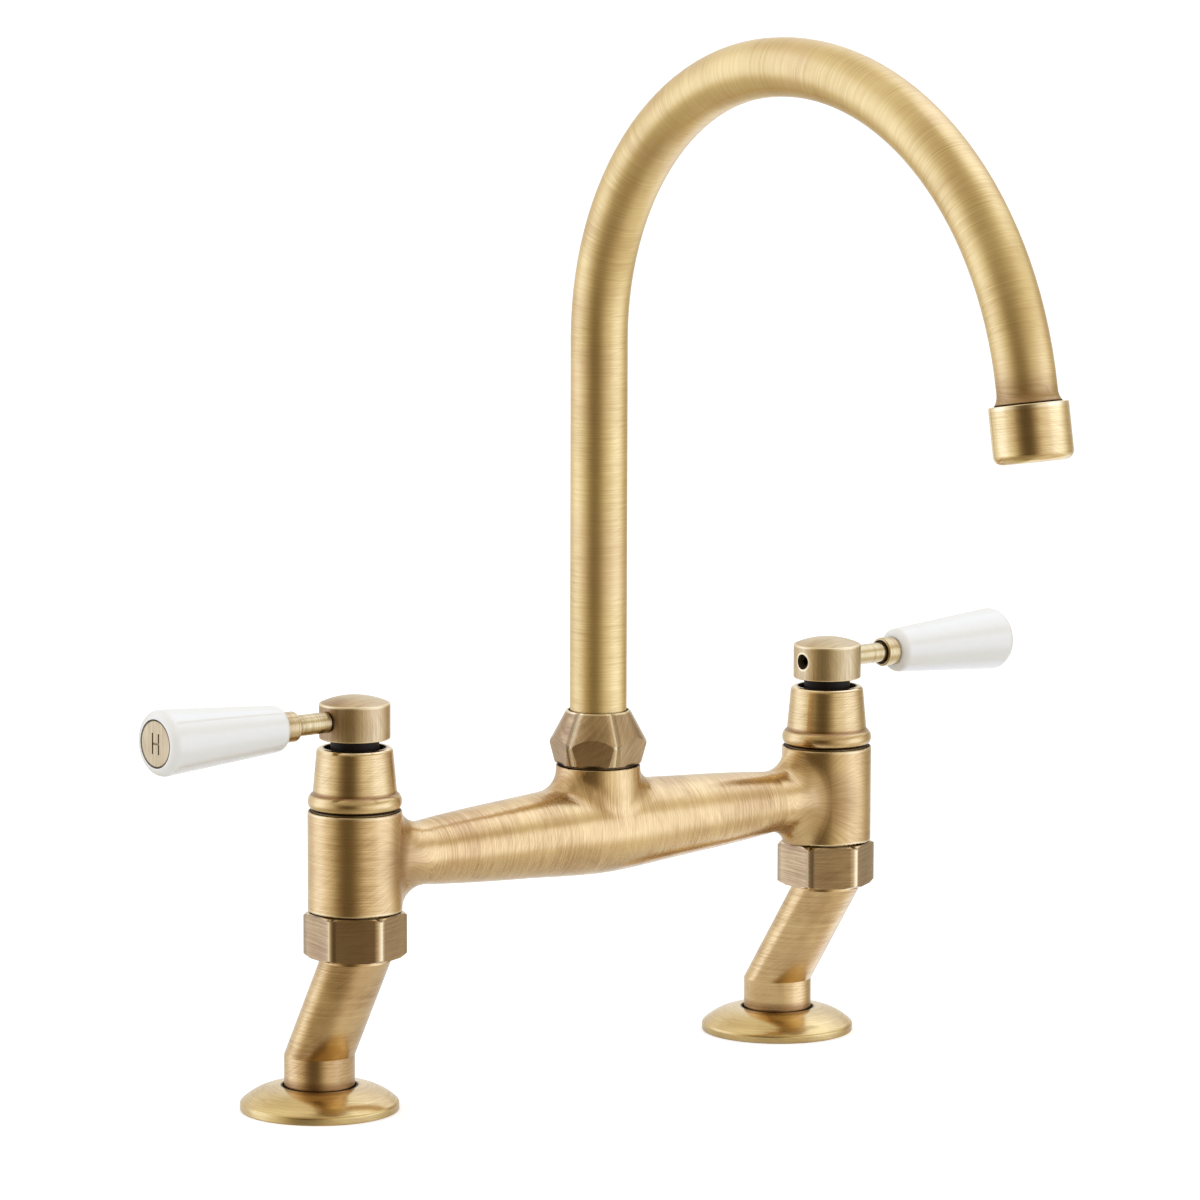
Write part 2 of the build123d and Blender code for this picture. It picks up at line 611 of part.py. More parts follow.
def spout_tube():
    """The swan-neck tube with its flared and threaded outlet end."""
    path = Wire(spout_path().edges())
    foot = Plane(origin=path @ 0, x_dir=(1, 0, 0), z_dir=(0, 0, 1))
    tube = sweep(foot * (Circle(TUBE_R) - Circle(TUBE_BORE_R)), path)
    middle = ((TUBE_R + FLARE_R) / 2 - FLARE_HOLLOW, (FLARE_START + FLARE_END) / 2 + FLARE_HOLLOW)
    flare = ThreePointArc((TUBE_R, FLARE_START), middle, (FLARE_R, FLARE_END))
    rest = Polyline((FLARE_R, FLARE_END), (FLARE_R, OUTLET_THREAD_END), (TUBE_BORE_R, OUTLET_THREAD_END),
                    (TUBE_BORE_R, 0), (TUBE_R, 0), (TUBE_R, FLARE_START))
    return tube + outlet_plane() * turned(flare, *rest.edges())


def spout_tail():
    """The turned sleeve soldered in the tube's foot, grooved for two seals and the swivel ring."""
    bore_r = TUBE_R - TAIL_WALL
    tail = ring(TUBE_R, bore_r, TAIL_BASE_Z, TUBE_START_Z)
    tail += ring(TUBE_BORE_R - RUN_FIT, bore_r, TUBE_START_Z, TUBE_START_Z + TAIL_SOCKET)
    for z in SPOUT_SEAL_Z:
        half = SPOUT_SEAL_SECTION_R + RUN_FIT
        tail -= ring(TUBE_R, TUBE_R - 2 * SPOUT_SEAL_SECTION_R, z - half, z + half)
    groove_r = TUBE_R - SWIVEL_GROOVE_DEPTH
    tail -= ring(TUBE_R, groove_r, SWIVEL_RING_Z, SWIVEL_RING_Z + SWIVEL_RING_HEIGHT)
    return Pos(0, BRIDGE_Y, 0) * tail


def spout_seals():
    """Two round seals in the tail's grooves."""
    centre_r = TUBE_R - SPOUT_SEAL_SECTION_R
    return [Pos(0, BRIDGE_Y, 0) * o_ring(centre_r, SPOUT_SEAL_SECTION_R, z) for z in SPOUT_SEAL_Z]


def swivel_ring():
    """The split ring that holds the tail under the spout nut."""
    inner_r = TUBE_R - SWIVEL_GROOVE_DEPTH + RUN_FIT
    hoop = ring(SWIVEL_RING_R, inner_r, SWIVEL_RING_Z, SWIVEL_RING_Z + SWIVEL_RING_HEIGHT)
    slit = Box(SWIVEL_RING_R, SWIVEL_SLIT, STUB_LENGTH, align=(Align.MIN, Align.CENTER, Align.CENTER))
    return Pos(0, BRIDGE_Y, 0) * (hoop - Pos(0, 0, SWIVEL_RING_Z) * slit)


def spout_nut():
    """The waisted nut over the swivel ring, with six leaning flats."""
    shell = turned_polygon([
        (0, SPOUT_NUT_BASE_Z), (SPOUT_NUT_BASE_R, SPOUT_NUT_BASE_Z), (SPOUT_NUT_WAIST_R, SPOUT_NUT_WAIST_Z),
        (SPOUT_NUT_TOP_R, SPOUT_NUT_TOP_Z), (0, SPOUT_NUT_TOP_Z),
    ])
    shell = fillet([e for e in shell.edges() if is_circle_at(e, SPOUT_NUT_WAIST_R, SPOUT_NUT_WAIST_Z)],
                   SPOUT_NUT_ROUND)
    shell = fillet([e for e in shell.edges() if is_circle_at(e, SPOUT_NUT_BASE_R, SPOUT_NUT_BASE_Z)],
                   SPOUT_NUT_FOOT_ROUND)
    lean = (SPOUT_NUT_WAIST_FLATS - SPOUT_NUT_BASE_FLATS) / (SPOUT_NUT_WAIST_Z - SPOUT_NUT_BASE_Z)
    top_flats = SPOUT_NUT_BASE_FLATS + lean * (SPOUT_NUT_TOP_Z - SPOUT_NUT_BASE_Z)
    ends = ((SPOUT_NUT_BASE_FLATS, SPOUT_NUT_BASE_Z), (top_flats, SPOUT_NUT_TOP_Z))
    sections = [Pos(0, 0, z) * hexagon_outline(flats) for flats, z in ends]
    shell = shell & loft(sections)
    shell -= rod(STUB_R + THREAD_FIT, SPOUT_NUT_BASE_Z, STUB_TOP_Z)
    shell -= rod(SWIVEL_RING_R + LOOSE_FIT, STUB_TOP_Z, SPOUT_NUT_SHOULDER_Z)
    shell -= rod(TUBE_R + LOOSE_FIT, SPOUT_NUT_SHOULDER_Z, SPOUT_NUT_TOP_Z)
    return Pos(0, BRIDGE_Y, 0) * (Rot(0, 0, SPOUT_NUT_TURN) * shell)


def aerator_housing():
    """The ring screwed on the outlet, rounded below, holding the aerator."""
    housing = rod(HOUSING_R, FLARE_END, HOUSING_END)
    edges = housing.edges().filter_by(GeomType.CIRCLE).sort_by(Axis.Z)
    housing = fillet([edges[-1]], HOUSING_ROUND)
    top_edge = housing.edges().filter_by(GeomType.CIRCLE).sort_by(Axis.Z)[0]
    housing = fillet([top_edge], HOUSING_TOP_EDGE)
    lip_start = HOUSING_END - HOUSING_LIP
    housing -= rod(HOUSING_BORE_R, FLARE_END, lip_start)
    housing -= rod(HOUSING_MOUTH_R, lip_start, HOUSING_END)
    mouth_r = HOUSING_R - 2 * HOUSING_TOP_EDGE
    recess_end = FLARE_END + HOUSING_TOP_RECESS
    recess = [(0, FLARE_END), (mouth_r, FLARE_END), (HOUSING_BORE_R, recess_end), (0, recess_end)]
    return outlet_plane() * (housing - turned_polygon(recess))


def aerator_washer():
    """The flat seal between the outlet's thread and the aerator."""
    seat = OUTLET_THREAD_END
    return outlet_plane() * ring(HOUSING_BORE_R - RUN_FIT, TUBE_BORE_R, seat, seat + AERATOR_WASHER_HEIGHT)


def aerator_insert():
    """The perforated insert that breaks up the stream."""
    base = OUTLET_THREAD_END + AERATOR_WASHER_HEIGHT
    lip_start = HOUSING_END - HOUSING_LIP
    insert = rod(HOUSING_BORE_R - RUN_FIT, base, lip_start)
    insert += rod(HOUSING_MOUTH_R - RUN_FIT, lip_start, HOUSING_END - AERATOR_FACE_DEPTH)
    rings = range(-AERATOR_HOLE_RINGS, AERATOR_HOLE_RINGS + 1)
    cells = [(i, j) for i in rings for j in rings if abs(i + j) <= AERATOR_HOLE_RINGS]
    row_step = AERATOR_HOLE_PITCH * sin(radians(60))
    for i, j in cells:
        place = Pos(AERATOR_HOLE_PITCH * (i + j / 2), row_step * j, 0)
        insert -= place * rod(AERATOR_HOLE_R, base, HOUSING_END)
    return outlet_plane() * insert


# ---------------------------------------------------------------- unions, legs and deck fixings
def union_nut(turn):
    """The hexagonal nut that clamps a leg's collar under a column."""
    nut = hex_nut_blank(UNION_FLATS, UNION_BASE_Z, UNION_TOP_Z, UNION_CHAMFER)
    hole_r = LEG_R + LOOSE_FIT
    collar_r = LEG_COLLAR_R + LOOSE_FIT
    thread_r = SPIGOT_R + THREAD_FIT
    lip_base_z = UNION_LIP_Z - UNION_LIP_THICKNESS
    nut -= turned_polygon([
        (0, UNION_BASE_Z), (UNION_MOUTH_R, UNION_BASE_Z), (hole_r, lip_base_z), (hole_r, UNION_LIP_Z),
        (collar_r, UNION_LIP_Z), (collar_r, LEG_COLLAR_TOP_Z), (thread_r, LEG_COLLAR_TOP_Z),
        (thread_r, UNION_TOP_Z), (0, UNION_TOP_Z),
    ])
    return Rot(0, 0, turn) * nut


def union_washer():
    """The flat seal between the leg's collar and the column's spigot."""
    return ring(LEG_COLLAR_R, SUPPLY_BORE_R, LEG_COLLAR_TOP_Z, SPIGOT_END_Z)


def tail_offset(side):
    """From a column's axis to its tail's axis."""
    return side * (TAIL_SPACING - COLUMN_SPACING) / 2, CRANK


def tail_thread():
    """The tail about its own axis: rings for the clamping thread, a relief, and the inlet end."""
    flat = (THREAD_PITCH - 2 * THREAD_DEPTH * tan(radians(THREAD_HALF_ANGLE))) / 2
    flank = THREAD_PITCH / 2 - flat
    outline = []
    for turn in range(CLAMP_THREAD_TURNS):
        z = THREAD_TOP_Z - turn * THREAD_PITCH
        outline += [(TAIL_THREAD_R, z), (TAIL_THREAD_R, z - flat)]
        outline += [(TAIL_ROOT_R, z - flat - flank), (TAIL_ROOT_R, z - 2 * flat - flank)]
    outline += [(TAIL_ROOT_R, INLET_TOP_Z), (TAIL_THREAD_R, INLET_TOP_Z)]
    outline += [(TAIL_THREAD_R, TAIL_END_Z + INLET_CHAMFER), (TAIL_THREAD_R - INLET_CHAMFER, TAIL_END_Z)]
    return turned_polygon([(LEG_BORE_R, THREAD_TOP_Z)] + outline + [(LEG_BORE_R, TAIL_END_Z)])


def slanted_run(radius, side):
    """The leg's slanted run between its elbows, round in every level section."""
    x, y = tail_offset(side)
    section = Pos(0, 0, UPPER_ELBOW_Z) * Circle(radius)
    way = Vector(x, y, LOWER_ELBOW_Z - UPPER_ELBOW_Z)
    return extrude(section, way.length, dir=way.normalized())


def leg(side):
    """A cranked leg about its column's axis: union collar, slanted run and threaded tail."""
    x, y = tail_offset(side)
    body = rod(LEG_COLLAR_R, UNION_LIP_Z, LEG_COLLAR_TOP_Z) + rod(LEG_R, UPPER_ELBOW_Z, UNION_LIP_Z)
    body += slanted_run(LEG_R, side)
    body += Pos(x, y, 0) * rod(LEG_R, THREAD_TOP_Z, LOWER_ELBOW_Z)
    bore = rod(LEG_BORE_R, UPPER_ELBOW_Z, LEG_COLLAR_TOP_Z) + slanted_run(LEG_BORE_R, side)
    bore += Pos(x, y, 0) * rod(LEG_BORE_R, THREAD_TOP_Z, LOWER_ELBOW_Z)
    return body - bore + Pos(x, y, 0) * tail_thread()


def at_tail(side, shape):
    """Move a shape from the tail's own axis to the hot or cold tail."""
    return Pos(side * TAIL_SPACING / 2, 0, 0) * shape


def flange():
    """The domed flange, threaded on the tail and hollowed below for its gasket."""
    gap_r = LEG_R + LEG_GAP
    thread_r = TAIL_THREAD_R + THREAD_FIT
    start, end = (gap_r, FLANGE_TOP_Z), (FLANGE_R, FLANGE_RIM)
    run, fall = end[0] - start[0], start[1] - end[1]
    length = hypot(run, fall)
    crown = ((start[0] + end[0]) / 2 + FLANGE_CROWN * fall / length,
             (start[1] + end[1]) / 2 + FLANGE_CROWN * run / length)
    dome = ThreePointArc(start, crown, end)
    rest = Polyline(end, (FLANGE_R, 0), (GASKET_RECESS_R, 0), (GASKET_RECESS_R, GASKET_HEIGHT),
                    (thread_r, GASKET_HEIGHT), (thread_r, THREAD_TOP_Z), (gap_r, THREAD_TOP_Z), start)
    plate = turned(dome, *rest.edges())
    plate = fillet([e for e in plate.edges() if is_circle_at(e, FLANGE_R, FLANGE_RIM)], FLANGE_RIM_ROUND)
    return fillet([e for e in plate.edges() if is_circle_at(e, FLANGE_R, 0)], FLANGE_FOOT_ROUND)


def gasket():
    """The rubber ring that seals the flange on the deck."""
    return ring(GASKET_RECESS_R - GASKET_FIT, GASKET_INNER_R, 0, GASKET_HEIGHT)


def backnut_washer():
    """The washer pressed up against the underside of the deck."""
    return ring(BACKNUT_WASHER_R, TAIL_THREAD_R + LOOSE_FIT, BACKNUT_TOP_Z, -DECK_THICKNESS)


def backnut():
    """The hexagonal nut that clamps the deck from below."""
    nut = hex_nut_blank(BACKNUT_FLATS, BACKNUT_TOP_Z - BACKNUT_HEIGHT, BACKNUT_TOP_Z, BACKNUT_CHAMFER)
    return nut - rod(TAIL_THREAD_R + THREAD_FIT, BACKNUT_TOP_Z - BACKNUT_HEIGHT, BACKNUT_TOP_Z)


# ---------------------------------------------------------------- pieces
def central_pieces():
    """The casting and the nut that holds the spout in it."""
    return {
        "bridge_body": bridge_body(),
        "spout_nut": spout_nut(),
    }


def spout_pieces():
    """Everything that swivels with the spout, before it is turned about the bridge's centre."""
    return {
        "swivel_ring": swivel_ring(),
        "spout_tail": spout_tail(),
        "spout_tube": spout_tube(),
        "spout_seals": Compound(children=spout_seals()),
        "aerator_housing": aerator_housing(),
        "aerator_washer": aerator_washer(),
        "aerator_insert": aerator_insert(),
    }


def valve_pieces(side, union_turn):
    """Cartridge, bonnet, union and deck fixings of one side."""
    column_pieces = {
        "cartridge_body": cartridge_body(),
        "fixed_disc": fixed_disc(),
        "seat_seal": seat_seal(),
        "bonnet": bonnet(),
        "union_nut": union_nut(union_turn),
        "union_washer": union_washer(),
        "leg": leg(side),
    }
    tail_pieces = {
        "flange": flange(),
        "gasket": gasket(),
        "backnut_washer": backnut_washer(),
        "backnut": backnut(),
    }
    placed = {name: at_column(side, shape) for name, shape in column_pieces.items()}
    placed.update({name: at_tail(side, shape) for name, shape in tail_pieces.items()})
    return placed


def lever_pieces(side):
    """Everything that turns with one lever, which points away from the spout at rest."""
    turn = 0 if side == SIDES["cold"] else 180
    pieces = {
        "spindle": spindle(),
        "spindle_seals": Compound(children=spindle_seals()),
        "turning_disc": turning_disc(),
        "neck_sleeve": neck_sleeve(),
        "lever_hub": lever_hub(),
        "grub_screw": grub_screw(),
        "lever_stem": lever_stem(),
        "grip": grip(),
        "index_cap": index_cap(side),
    }
    return {name: at_column(side, Rot(0, 0, turn) * shape) for name, shape in pieces.items()}


os.makedirs("parts", exist_ok=True)
for piece_name, piece in central_pieces().items():
    save(piece_name, piece)
swivel = Axis((0, BRIDGE_Y, 0), (0, 0, 1))
for piece_name, piece in spout_pieces().items():
    save(piece_name, piece.rotate(swivel, SPOUT_TURN))
for side_name, union_turn in (("hot", HOT_UNION_TURN), ("cold", COLD_UNION_TURN)):
    side_sign = SIDES[side_name]
    for piece_name, piece in (valve_pieces(side_sign, union_turn) | lever_pieces(side_sign)).items():
        save(f"{side_name}_{piece_name}", piece)
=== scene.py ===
"""The looks of the bridge kitchen tap: camera, studio, floor, and the finishes of every part."""
import json
import math

import bpy
from mathutils import Matrix, Vector

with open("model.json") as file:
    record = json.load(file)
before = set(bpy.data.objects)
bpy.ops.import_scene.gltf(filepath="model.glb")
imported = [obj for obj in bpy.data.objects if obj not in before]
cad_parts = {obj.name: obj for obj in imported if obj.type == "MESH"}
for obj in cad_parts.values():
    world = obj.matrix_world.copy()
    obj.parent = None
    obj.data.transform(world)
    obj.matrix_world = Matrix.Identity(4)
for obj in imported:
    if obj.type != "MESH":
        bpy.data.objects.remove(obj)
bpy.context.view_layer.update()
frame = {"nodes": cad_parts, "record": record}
nodes = frame["nodes"]
scene = bpy.context.scene

# ---------------------------------------------------------------- sizes of the tap in metres
SIDES = {"hot": -1.0, "cold": 1.0}
BRIDGE_Y = -0.0196
COLUMN_X = 0.092
COLUMN_R = 0.0137
COLUMN_BASE_Z = 0.0623
COLUMN_TOP_Z = 0.0916
ARM_Z = 0.07645
BOSS_TOP_Z = 0.09535
BONNET_TOP_Z = 0.1101
BEAD_BASE_Z = 0.0922
BEAD_TOP_Z = 0.0969
HUB_R = 0.0103
HUB_BASE_Z = 0.1126
HUB_SHOULDER_Z = 0.1229
LEVER_Z = 0.1183
TAIL_X = 0.090
LEG_R = 0.0104
FLANGE_TOP_Z = 0.0073
SPOUT_RISE = 0.2227
SPOUT_TURN = math.radians(-0.7)
OUTLET_TOP = (-0.002245, -0.20331, 0.21889)
OUTLET_AXIS = (-0.00202, -0.16504, -0.98629)
OUTLET_R = 0.01115
SPOUT_NUT_TURN = math.radians(43.0)
UNION_NUT_TURN = {"hot": math.radians(52.0), "cold": math.radians(57.0)}
UNION_NUT_BASE_Z = 0.0489
UNION_NUT_TOP_Z = 0.0619
SPOUT_BENDS = ((0.08345, math.radians(81.5)), (0.0984, math.radians(75.4)), (0.1029, math.radians(13.6)))
CAP_FACE = 0.07115

# ---------------------------------------------------------------- rings round turned parts
# radius, height above the deck, and soft width
# painted shade in the seams where the bonnet and the union nut meet each column
COLUMN_SEAMS = [(0.0128, COLUMN_TOP_Z, 0.0009), (0.0128, COLUMN_BASE_Z, 0.0009)]
# rubbed rims of the columns, paler with a painted highlight
COLUMN_RIMS = [(COLUMN_R, COLUMN_TOP_Z - 0.0005, 0.0005), (COLUMN_R, COLUMN_BASE_Z + 0.0005, 0.0005)]
# painted shade in the seam under the spout nut on the boss
BOSS_SEAM = [(0.0116, BOSS_TOP_Z + 0.0004, 0.0012)]
# painted shade in the spout nut's seams
SPOUT_NUT_SEAMS = [(0.0118, 0.0961, 0.0010), (0.0084, 0.1118, 0.0009)]
# the spout nut's rubbed top rim with a painted highlight
SPOUT_NUT_RIM = [(0.0095, 0.1117, 0.0006)]
# painted shade in the seam between the union nut and its column
UNION_NUT_SEAM = [(0.0124, UNION_NUT_TOP_Z, 0.0010)]
# the union nut's rubbed rims with painted highlights
UNION_NUT_RIMS = [(0.0140, UNION_NUT_BASE_Z, 0.0006), (0.0140, UNION_NUT_TOP_Z, 0.0006)]
# painted shade where the bead meets the column and in the bonnet's mouth
BONNET_SEAMS = [(0.0124, BEAD_BASE_Z, 0.0009), (0.0084, BONNET_TOP_Z, 0.0012)]
# the bonnet's rubbed top rim with a painted highlight
BONNET_RIM = [(0.0106, BONNET_TOP_Z, 0.0009)]
# painted shade along the top of the bead
BEAD_GROOVE = [(0.0124, BEAD_TOP_Z, 0.0011)]
# painted reflection of the flange: brown shade low on the leg
LEG_FOOT_SHADE = [(LEG_R, FLANGE_TOP_Z, 0.0035)]
# painted shade where the leg meets the flange
FLANGE_SEAM = [(LEG_R + 0.0003, FLANGE_TOP_Z, 0.0011)]
# the hub's rubbed rims with painted highlights
HUB_RIMS = [(HUB_R, HUB_SHOULDER_Z, 0.0007), (HUB_R, HUB_BASE_Z, 0.0006)]
# painted shade in the seam at the hub's base
HUB_SEAM = [(0.0082, HUB_BASE_Z, 0.0016)]
# these lie about the lever's own axis, and their height is the distance from the hub's axis
SCREW_HOLE_RIM = [(0.00262, 0.0, 0.00045)]
STEM_SHADOW = [(0.0030, 0.0, 0.0062)]
# painted shade at the collar's joints and where the stem meets the hub
STEM_SEAMS = [(0.0034, 0.0222, 0.0006), (0.0032, HUB_R, 0.0007), (0.004, 0.0273, 0.0006)]
# painted shade in the gap round the index cap
CAP_RIM = [(0.00685, CAP_FACE, 0.0006)]


# ---------------------------------------------------------------- camera
CAMERA_PLACE = Vector((-1.2213, -1.4563, 0.4096))
CAMERA_AZIMUTH = math.radians(40.365)
CAMERA_ELEVATION = math.radians(7.839)
CAMERA_ROLL = math.radians(0.164)
LENS_MM = 192.62
SENSOR_MM = 36.0
SHIFT = (0.001375, -0.01484)
CLIP_START = 0.05
CLIP_END = 60.0


def add_camera():
    """Place the camera where the photograph was taken from."""
    a, e = CAMERA_AZIMUTH, CAMERA_ELEVATION
    back = Vector((-math.sin(a) * math.cos(e), -math.cos(a) * math.cos(e), math.sin(e)))
    right = Vector((math.cos(a), -math.sin(a), 0.0))
    up = back.cross(right)
    c, s = math.cos(CAMERA_ROLL), math.sin(CAMERA_ROLL)
    rolled_right, rolled_up = right * c + up * s, up * c - right * s
    data = bpy.data.cameras.new("camera")
    data.lens = LENS_MM
    data.sensor_width = SENSOR_MM
    data.shift_x, data.shift_y = SHIFT
    data.clip_start = CLIP_START
    data.clip_end = CLIP_END
    camera = bpy.data.objects.new("camera", data)
    scene.collection.objects.link(camera)
    axes = Matrix((rolled_right, rolled_up, back)).transposed()
    camera.matrix_world = Matrix.Translation(CAMERA_PLACE) @ axes.to_4x4()
    scene.camera = camera


# ---------------------------------------------------------------- node helpers
def put(tree, kind, inputs=None, **settings):
    """Add a node with its properties set and its sockets given a value or linked to an output."""
    node = tree.nodes.new(kind)
    for key, value in settings.items():
        setattr(node, key, value)
    for key, value in (inputs or {}).items():
        if isinstance(value, bpy.types.NodeSocket):
            tree.links.new(value, node.inputs[key])
        else:
            node.inputs[key].default_value = value
    return node


def calc(tree, operation, first, second=0.0):
    """The result of one Math node."""
    return put(tree, "ShaderNodeMath", {0: first, 1: second}, operation=operation).outputs[0]


def total(tree, *terms):
    """A sum of values, each a socket, a number or a (value, weight) pair."""
    result = 0.0
    for term in terms:
        if isinstance(term, tuple):
            term = calc(tree, "MULTIPLY", term[0], term[1])
        result = calc(tree, "ADD", result, term)
    return result


def vector_calc(tree, operation, first, second=(0.0, 0.0, 0.0)):
    """One Vector Math node; the caller picks the output."""
    return put(tree, "ShaderNodeVectorMath", {0: first, 1: second}, operation=operation)


def ramp(tree, value, low, high, to_low=0.0, to_high=1.0, smooth=True):
    """Map a value from one range to another, held at both ends."""
    node = put(tree, "ShaderNodeMapRange", {"Value": value, "From Min": low, "From Max": high,
                                            "To Min": to_low, "To Max": to_high},
               interpolation_type="SMOOTHSTEP" if smooth else "LINEAR")
    return node.outputs["Result"]


def mix_colour(tree, factor, first, second):
    """Blend two colours."""
    return put(tree, "ShaderNodeMix", {0: factor, 6: first, 7: second}, data_type="RGBA").outputs[2]


def mix_vector(tree, factor, first, second):
    """Blend two vectors."""
    return put(tree, "ShaderNodeMix", {0: factor, 4: first, 5: second}, data_type="VECTOR").outputs[1]


def mapped(tree, vector, move=(0.0, 0.0, 0.0), scale=(1.0, 1.0, 1.0), turn=(0.0, 0.0, 0.0)):
    """Stretch, turn and then move a pattern's coordinates."""
    return put(tree, "ShaderNodeMapping", {"Vector": vector, "Location": move, "Scale": scale,
                                           "Rotation": turn}).outputs[0]


def split(tree, vector):
    """The three parts of a vector."""
    return put(tree, "ShaderNodeSeparateXYZ", {0: vector}).outputs


def joined(tree, x, y, z):
    """A vector from its three parts."""
    return put(tree, "ShaderNodeCombineXYZ", {0: x, 1: y, 2: z}).outputs[0]


def noise(tree, vector, scale=1.0, detail=2.0, roughness=0.5):
    """Noise between 0 and 1."""
    return put(tree, "ShaderNodeTexNoise", {"Vector": vector, "Scale": scale, "Detail": detail,
                                            "Roughness": roughness}).outputs["Fac"]


def new_group(name, inputs, outputs):
    """An empty shader node group with named sockets: the group, its inputs and its outputs."""
    group = bpy.data.node_groups.new(name, "ShaderNodeTree")
    for socket_name, kind, value in inputs:
        group.interface.new_socket(socket_name, in_out="INPUT", socket_type=kind).default_value = value
    for socket_name, kind in outputs:
        group.interface.new_socket(socket_name, in_out="OUTPUT", socket_type=kind)
    return group, group.nodes.new("NodeGroupInput").outputs, group.nodes.new("NodeGroupOutput").inputs


def effect(tree, group, **inputs):
    """Place a node group in a tree and give its sockets; the result is its outputs."""
    node = put(tree, "ShaderNodeGroup", node_tree=group)
    for key, value in inputs.items():
        if isinstance(value, bpy.types.NodeSocket):
            tree.links.new(value, node.inputs[key])
        else:
            node.inputs[key].default_value = value
    return node.outputs


VECTOR, COLOUR, NUMBER = "NodeSocketVector", "NodeSocketColor", "NodeSocketFloat"
ORIGIN = (0.0, 0.0, 0.0)


# ---------------------------------------------------------------- shared effects
# marks of brushing: shift, and scale per metre, of which the last is across the lines
HAIRS = {"scale": (75.0, 75.0, 3700.0)}
STROKES = {"move": (3.1, 7.7, 1.3), "scale": (60.0, 60.0, 2400.0)}
SCRATCHES = {"move": (2.2, 5.1, 8.4), "scale": (90.0, 90.0, 3000.0)}
STREAKS = {"move": (9.2, 2.4, 5.6), "scale": (28.0, 28.0, 1300.0)}
SCRATCH_TILT = (0.5, 0.35, 0.0)
CLOUD_SCALE = 70.0
BLUSH_SCALE = 48.0
BLUSH_SHIFT = (4.0, 1.0, 7.0)
BLUSH_STRENGTH = 0.30
RING_CORE = 0.3
ARC_RADIUS = 0.01


def make_brush_lines():
    """Fine brushed lines: Z of the vector runs across them, X and Y along them, in metres."""
    group, given, result = new_group("brush_lines", [("Vector", VECTOR, ORIGIN)],
                                     [("Lines", NUMBER), ("Streaks", NUMBER), ("Height", NUMBER)])
    tilted = mapped(group, given["Vector"], turn=SCRATCH_TILT)
    hairs = noise(group, mapped(group, given["Vector"], **HAIRS), roughness=0.65)
    strokes = noise(group, mapped(group, given["Vector"], **STROKES), roughness=0.6)
    scratches = noise(group, mapped(group, tilted, **SCRATCHES), roughness=0.55)
    streaks = noise(group, mapped(group, given["Vector"], **STREAKS), roughness=0.55)
    lines = total(group, (hairs, 0.42), (strokes, 0.36), (scratches, 0.22))
    group.links.new(ramp(group, lines, 0.38, 0.62, smooth=False), result["Lines"])
    group.links.new(ramp(group, streaks, 0.3, 0.7, smooth=False), result["Streaks"])
    group.links.new(lines, result["Height"])
    return group


def make_brass_tone(brush_lines):
    """Antique brass: colour, roughness and relief from its brushing and blotches, painted shade that darkens
    its recesses and given bands, and rubbed edges with painted highlights.
    """
    group, given, result = new_group(
        "brass_tone",
        [("Vector", VECTOR, ORIGIN), ("Place", VECTOR, ORIGIN), ("Pale", COLOUR, (0.8, 0.6, 0.3, 1.0)),
         ("Warm", COLOUR, (0.6, 0.4, 0.15, 1.0)), ("Rosy", COLOUR, (0.6, 0.35, 0.2, 1.0)),
         ("Brown", COLOUR, (0.3, 0.15, 0.05, 1.0)), ("RecessDark", COLOUR, (0.02, 0.01, 0.0, 1.0)),
         ("WornAndHighlit", COLOUR, (0.85, 0.68, 0.40, 1.0)), ("Recess", NUMBER, 0.0), ("Shade", NUMBER, 0.0),
         ("Wear", NUMBER, 0.0), ("Patina", NUMBER, 0.3), ("Gloss", NUMBER, 0.2)],
        [("Color", COLOUR), ("Roughness", NUMBER), ("CoatShare", NUMBER), ("Height", NUMBER)])
    brushed = effect(group, brush_lines, Vector=given["Vector"])
    lines, streaks = brushed["Lines"], brushed["Streaks"]
    clouds = ramp(group, noise(group, given["Place"], CLOUD_SCALE, detail=3.0, roughness=0.55), 0.34, 0.66)
    blush = ramp(group, noise(group, mapped(group, given["Place"], BLUSH_SHIFT), BLUSH_SCALE), 0.45, 0.7)
    share = total(group, 0.04, (lines, 0.60), (streaks, 0.07), (clouds, 0.16))
    colour = mix_colour(group, share, given["Pale"], given["Warm"])
    colour = mix_colour(group, calc(group, "MULTIPLY", blush, BLUSH_STRENGTH), colour, given["Rosy"])
    patina = calc(group, "MULTIPLY", calc(group, "MULTIPLY", clouds, lines), given["Patina"])
    # painted shade: the Shade mask browns the brass, joined with the patina
    shade = calc(group, "MULTIPLY", given["Shade"], total(group, 0.7, (lines, 0.3)))
    patina_and_shade = calc(group, "MAXIMUM", patina, shade)
    colour = mix_colour(group, patina_and_shade, colour, given["Brown"])
    # rubbed edges, paler as real brass rubs, and painted highlights along rims and corners
    colour = mix_colour(group, given["Wear"], colour, given["WornAndHighlit"])
    # painted shade: the Recess mask darkens gaps and recesses towards near black
    colour = mix_colour(group, given["Recess"], colour, given["RecessDark"])
    group.links.new(colour, result["Color"])
    rough = total(group, given["Gloss"], (lines, 0.08), (patina_and_shade, 0.12), (given["Recess"], 0.3),
                  (given["Wear"], -0.05))
    group.links.new(rough, result["Roughness"])
    # the coat thins where the painted shade and the patina lie
    group.links.new(total(group, 1.0, (given["Recess"], -0.95), (patina_and_shade, -0.6)), result["CoatShare"])
    group.links.new(brushed["Height"], result["Height"])
    return group


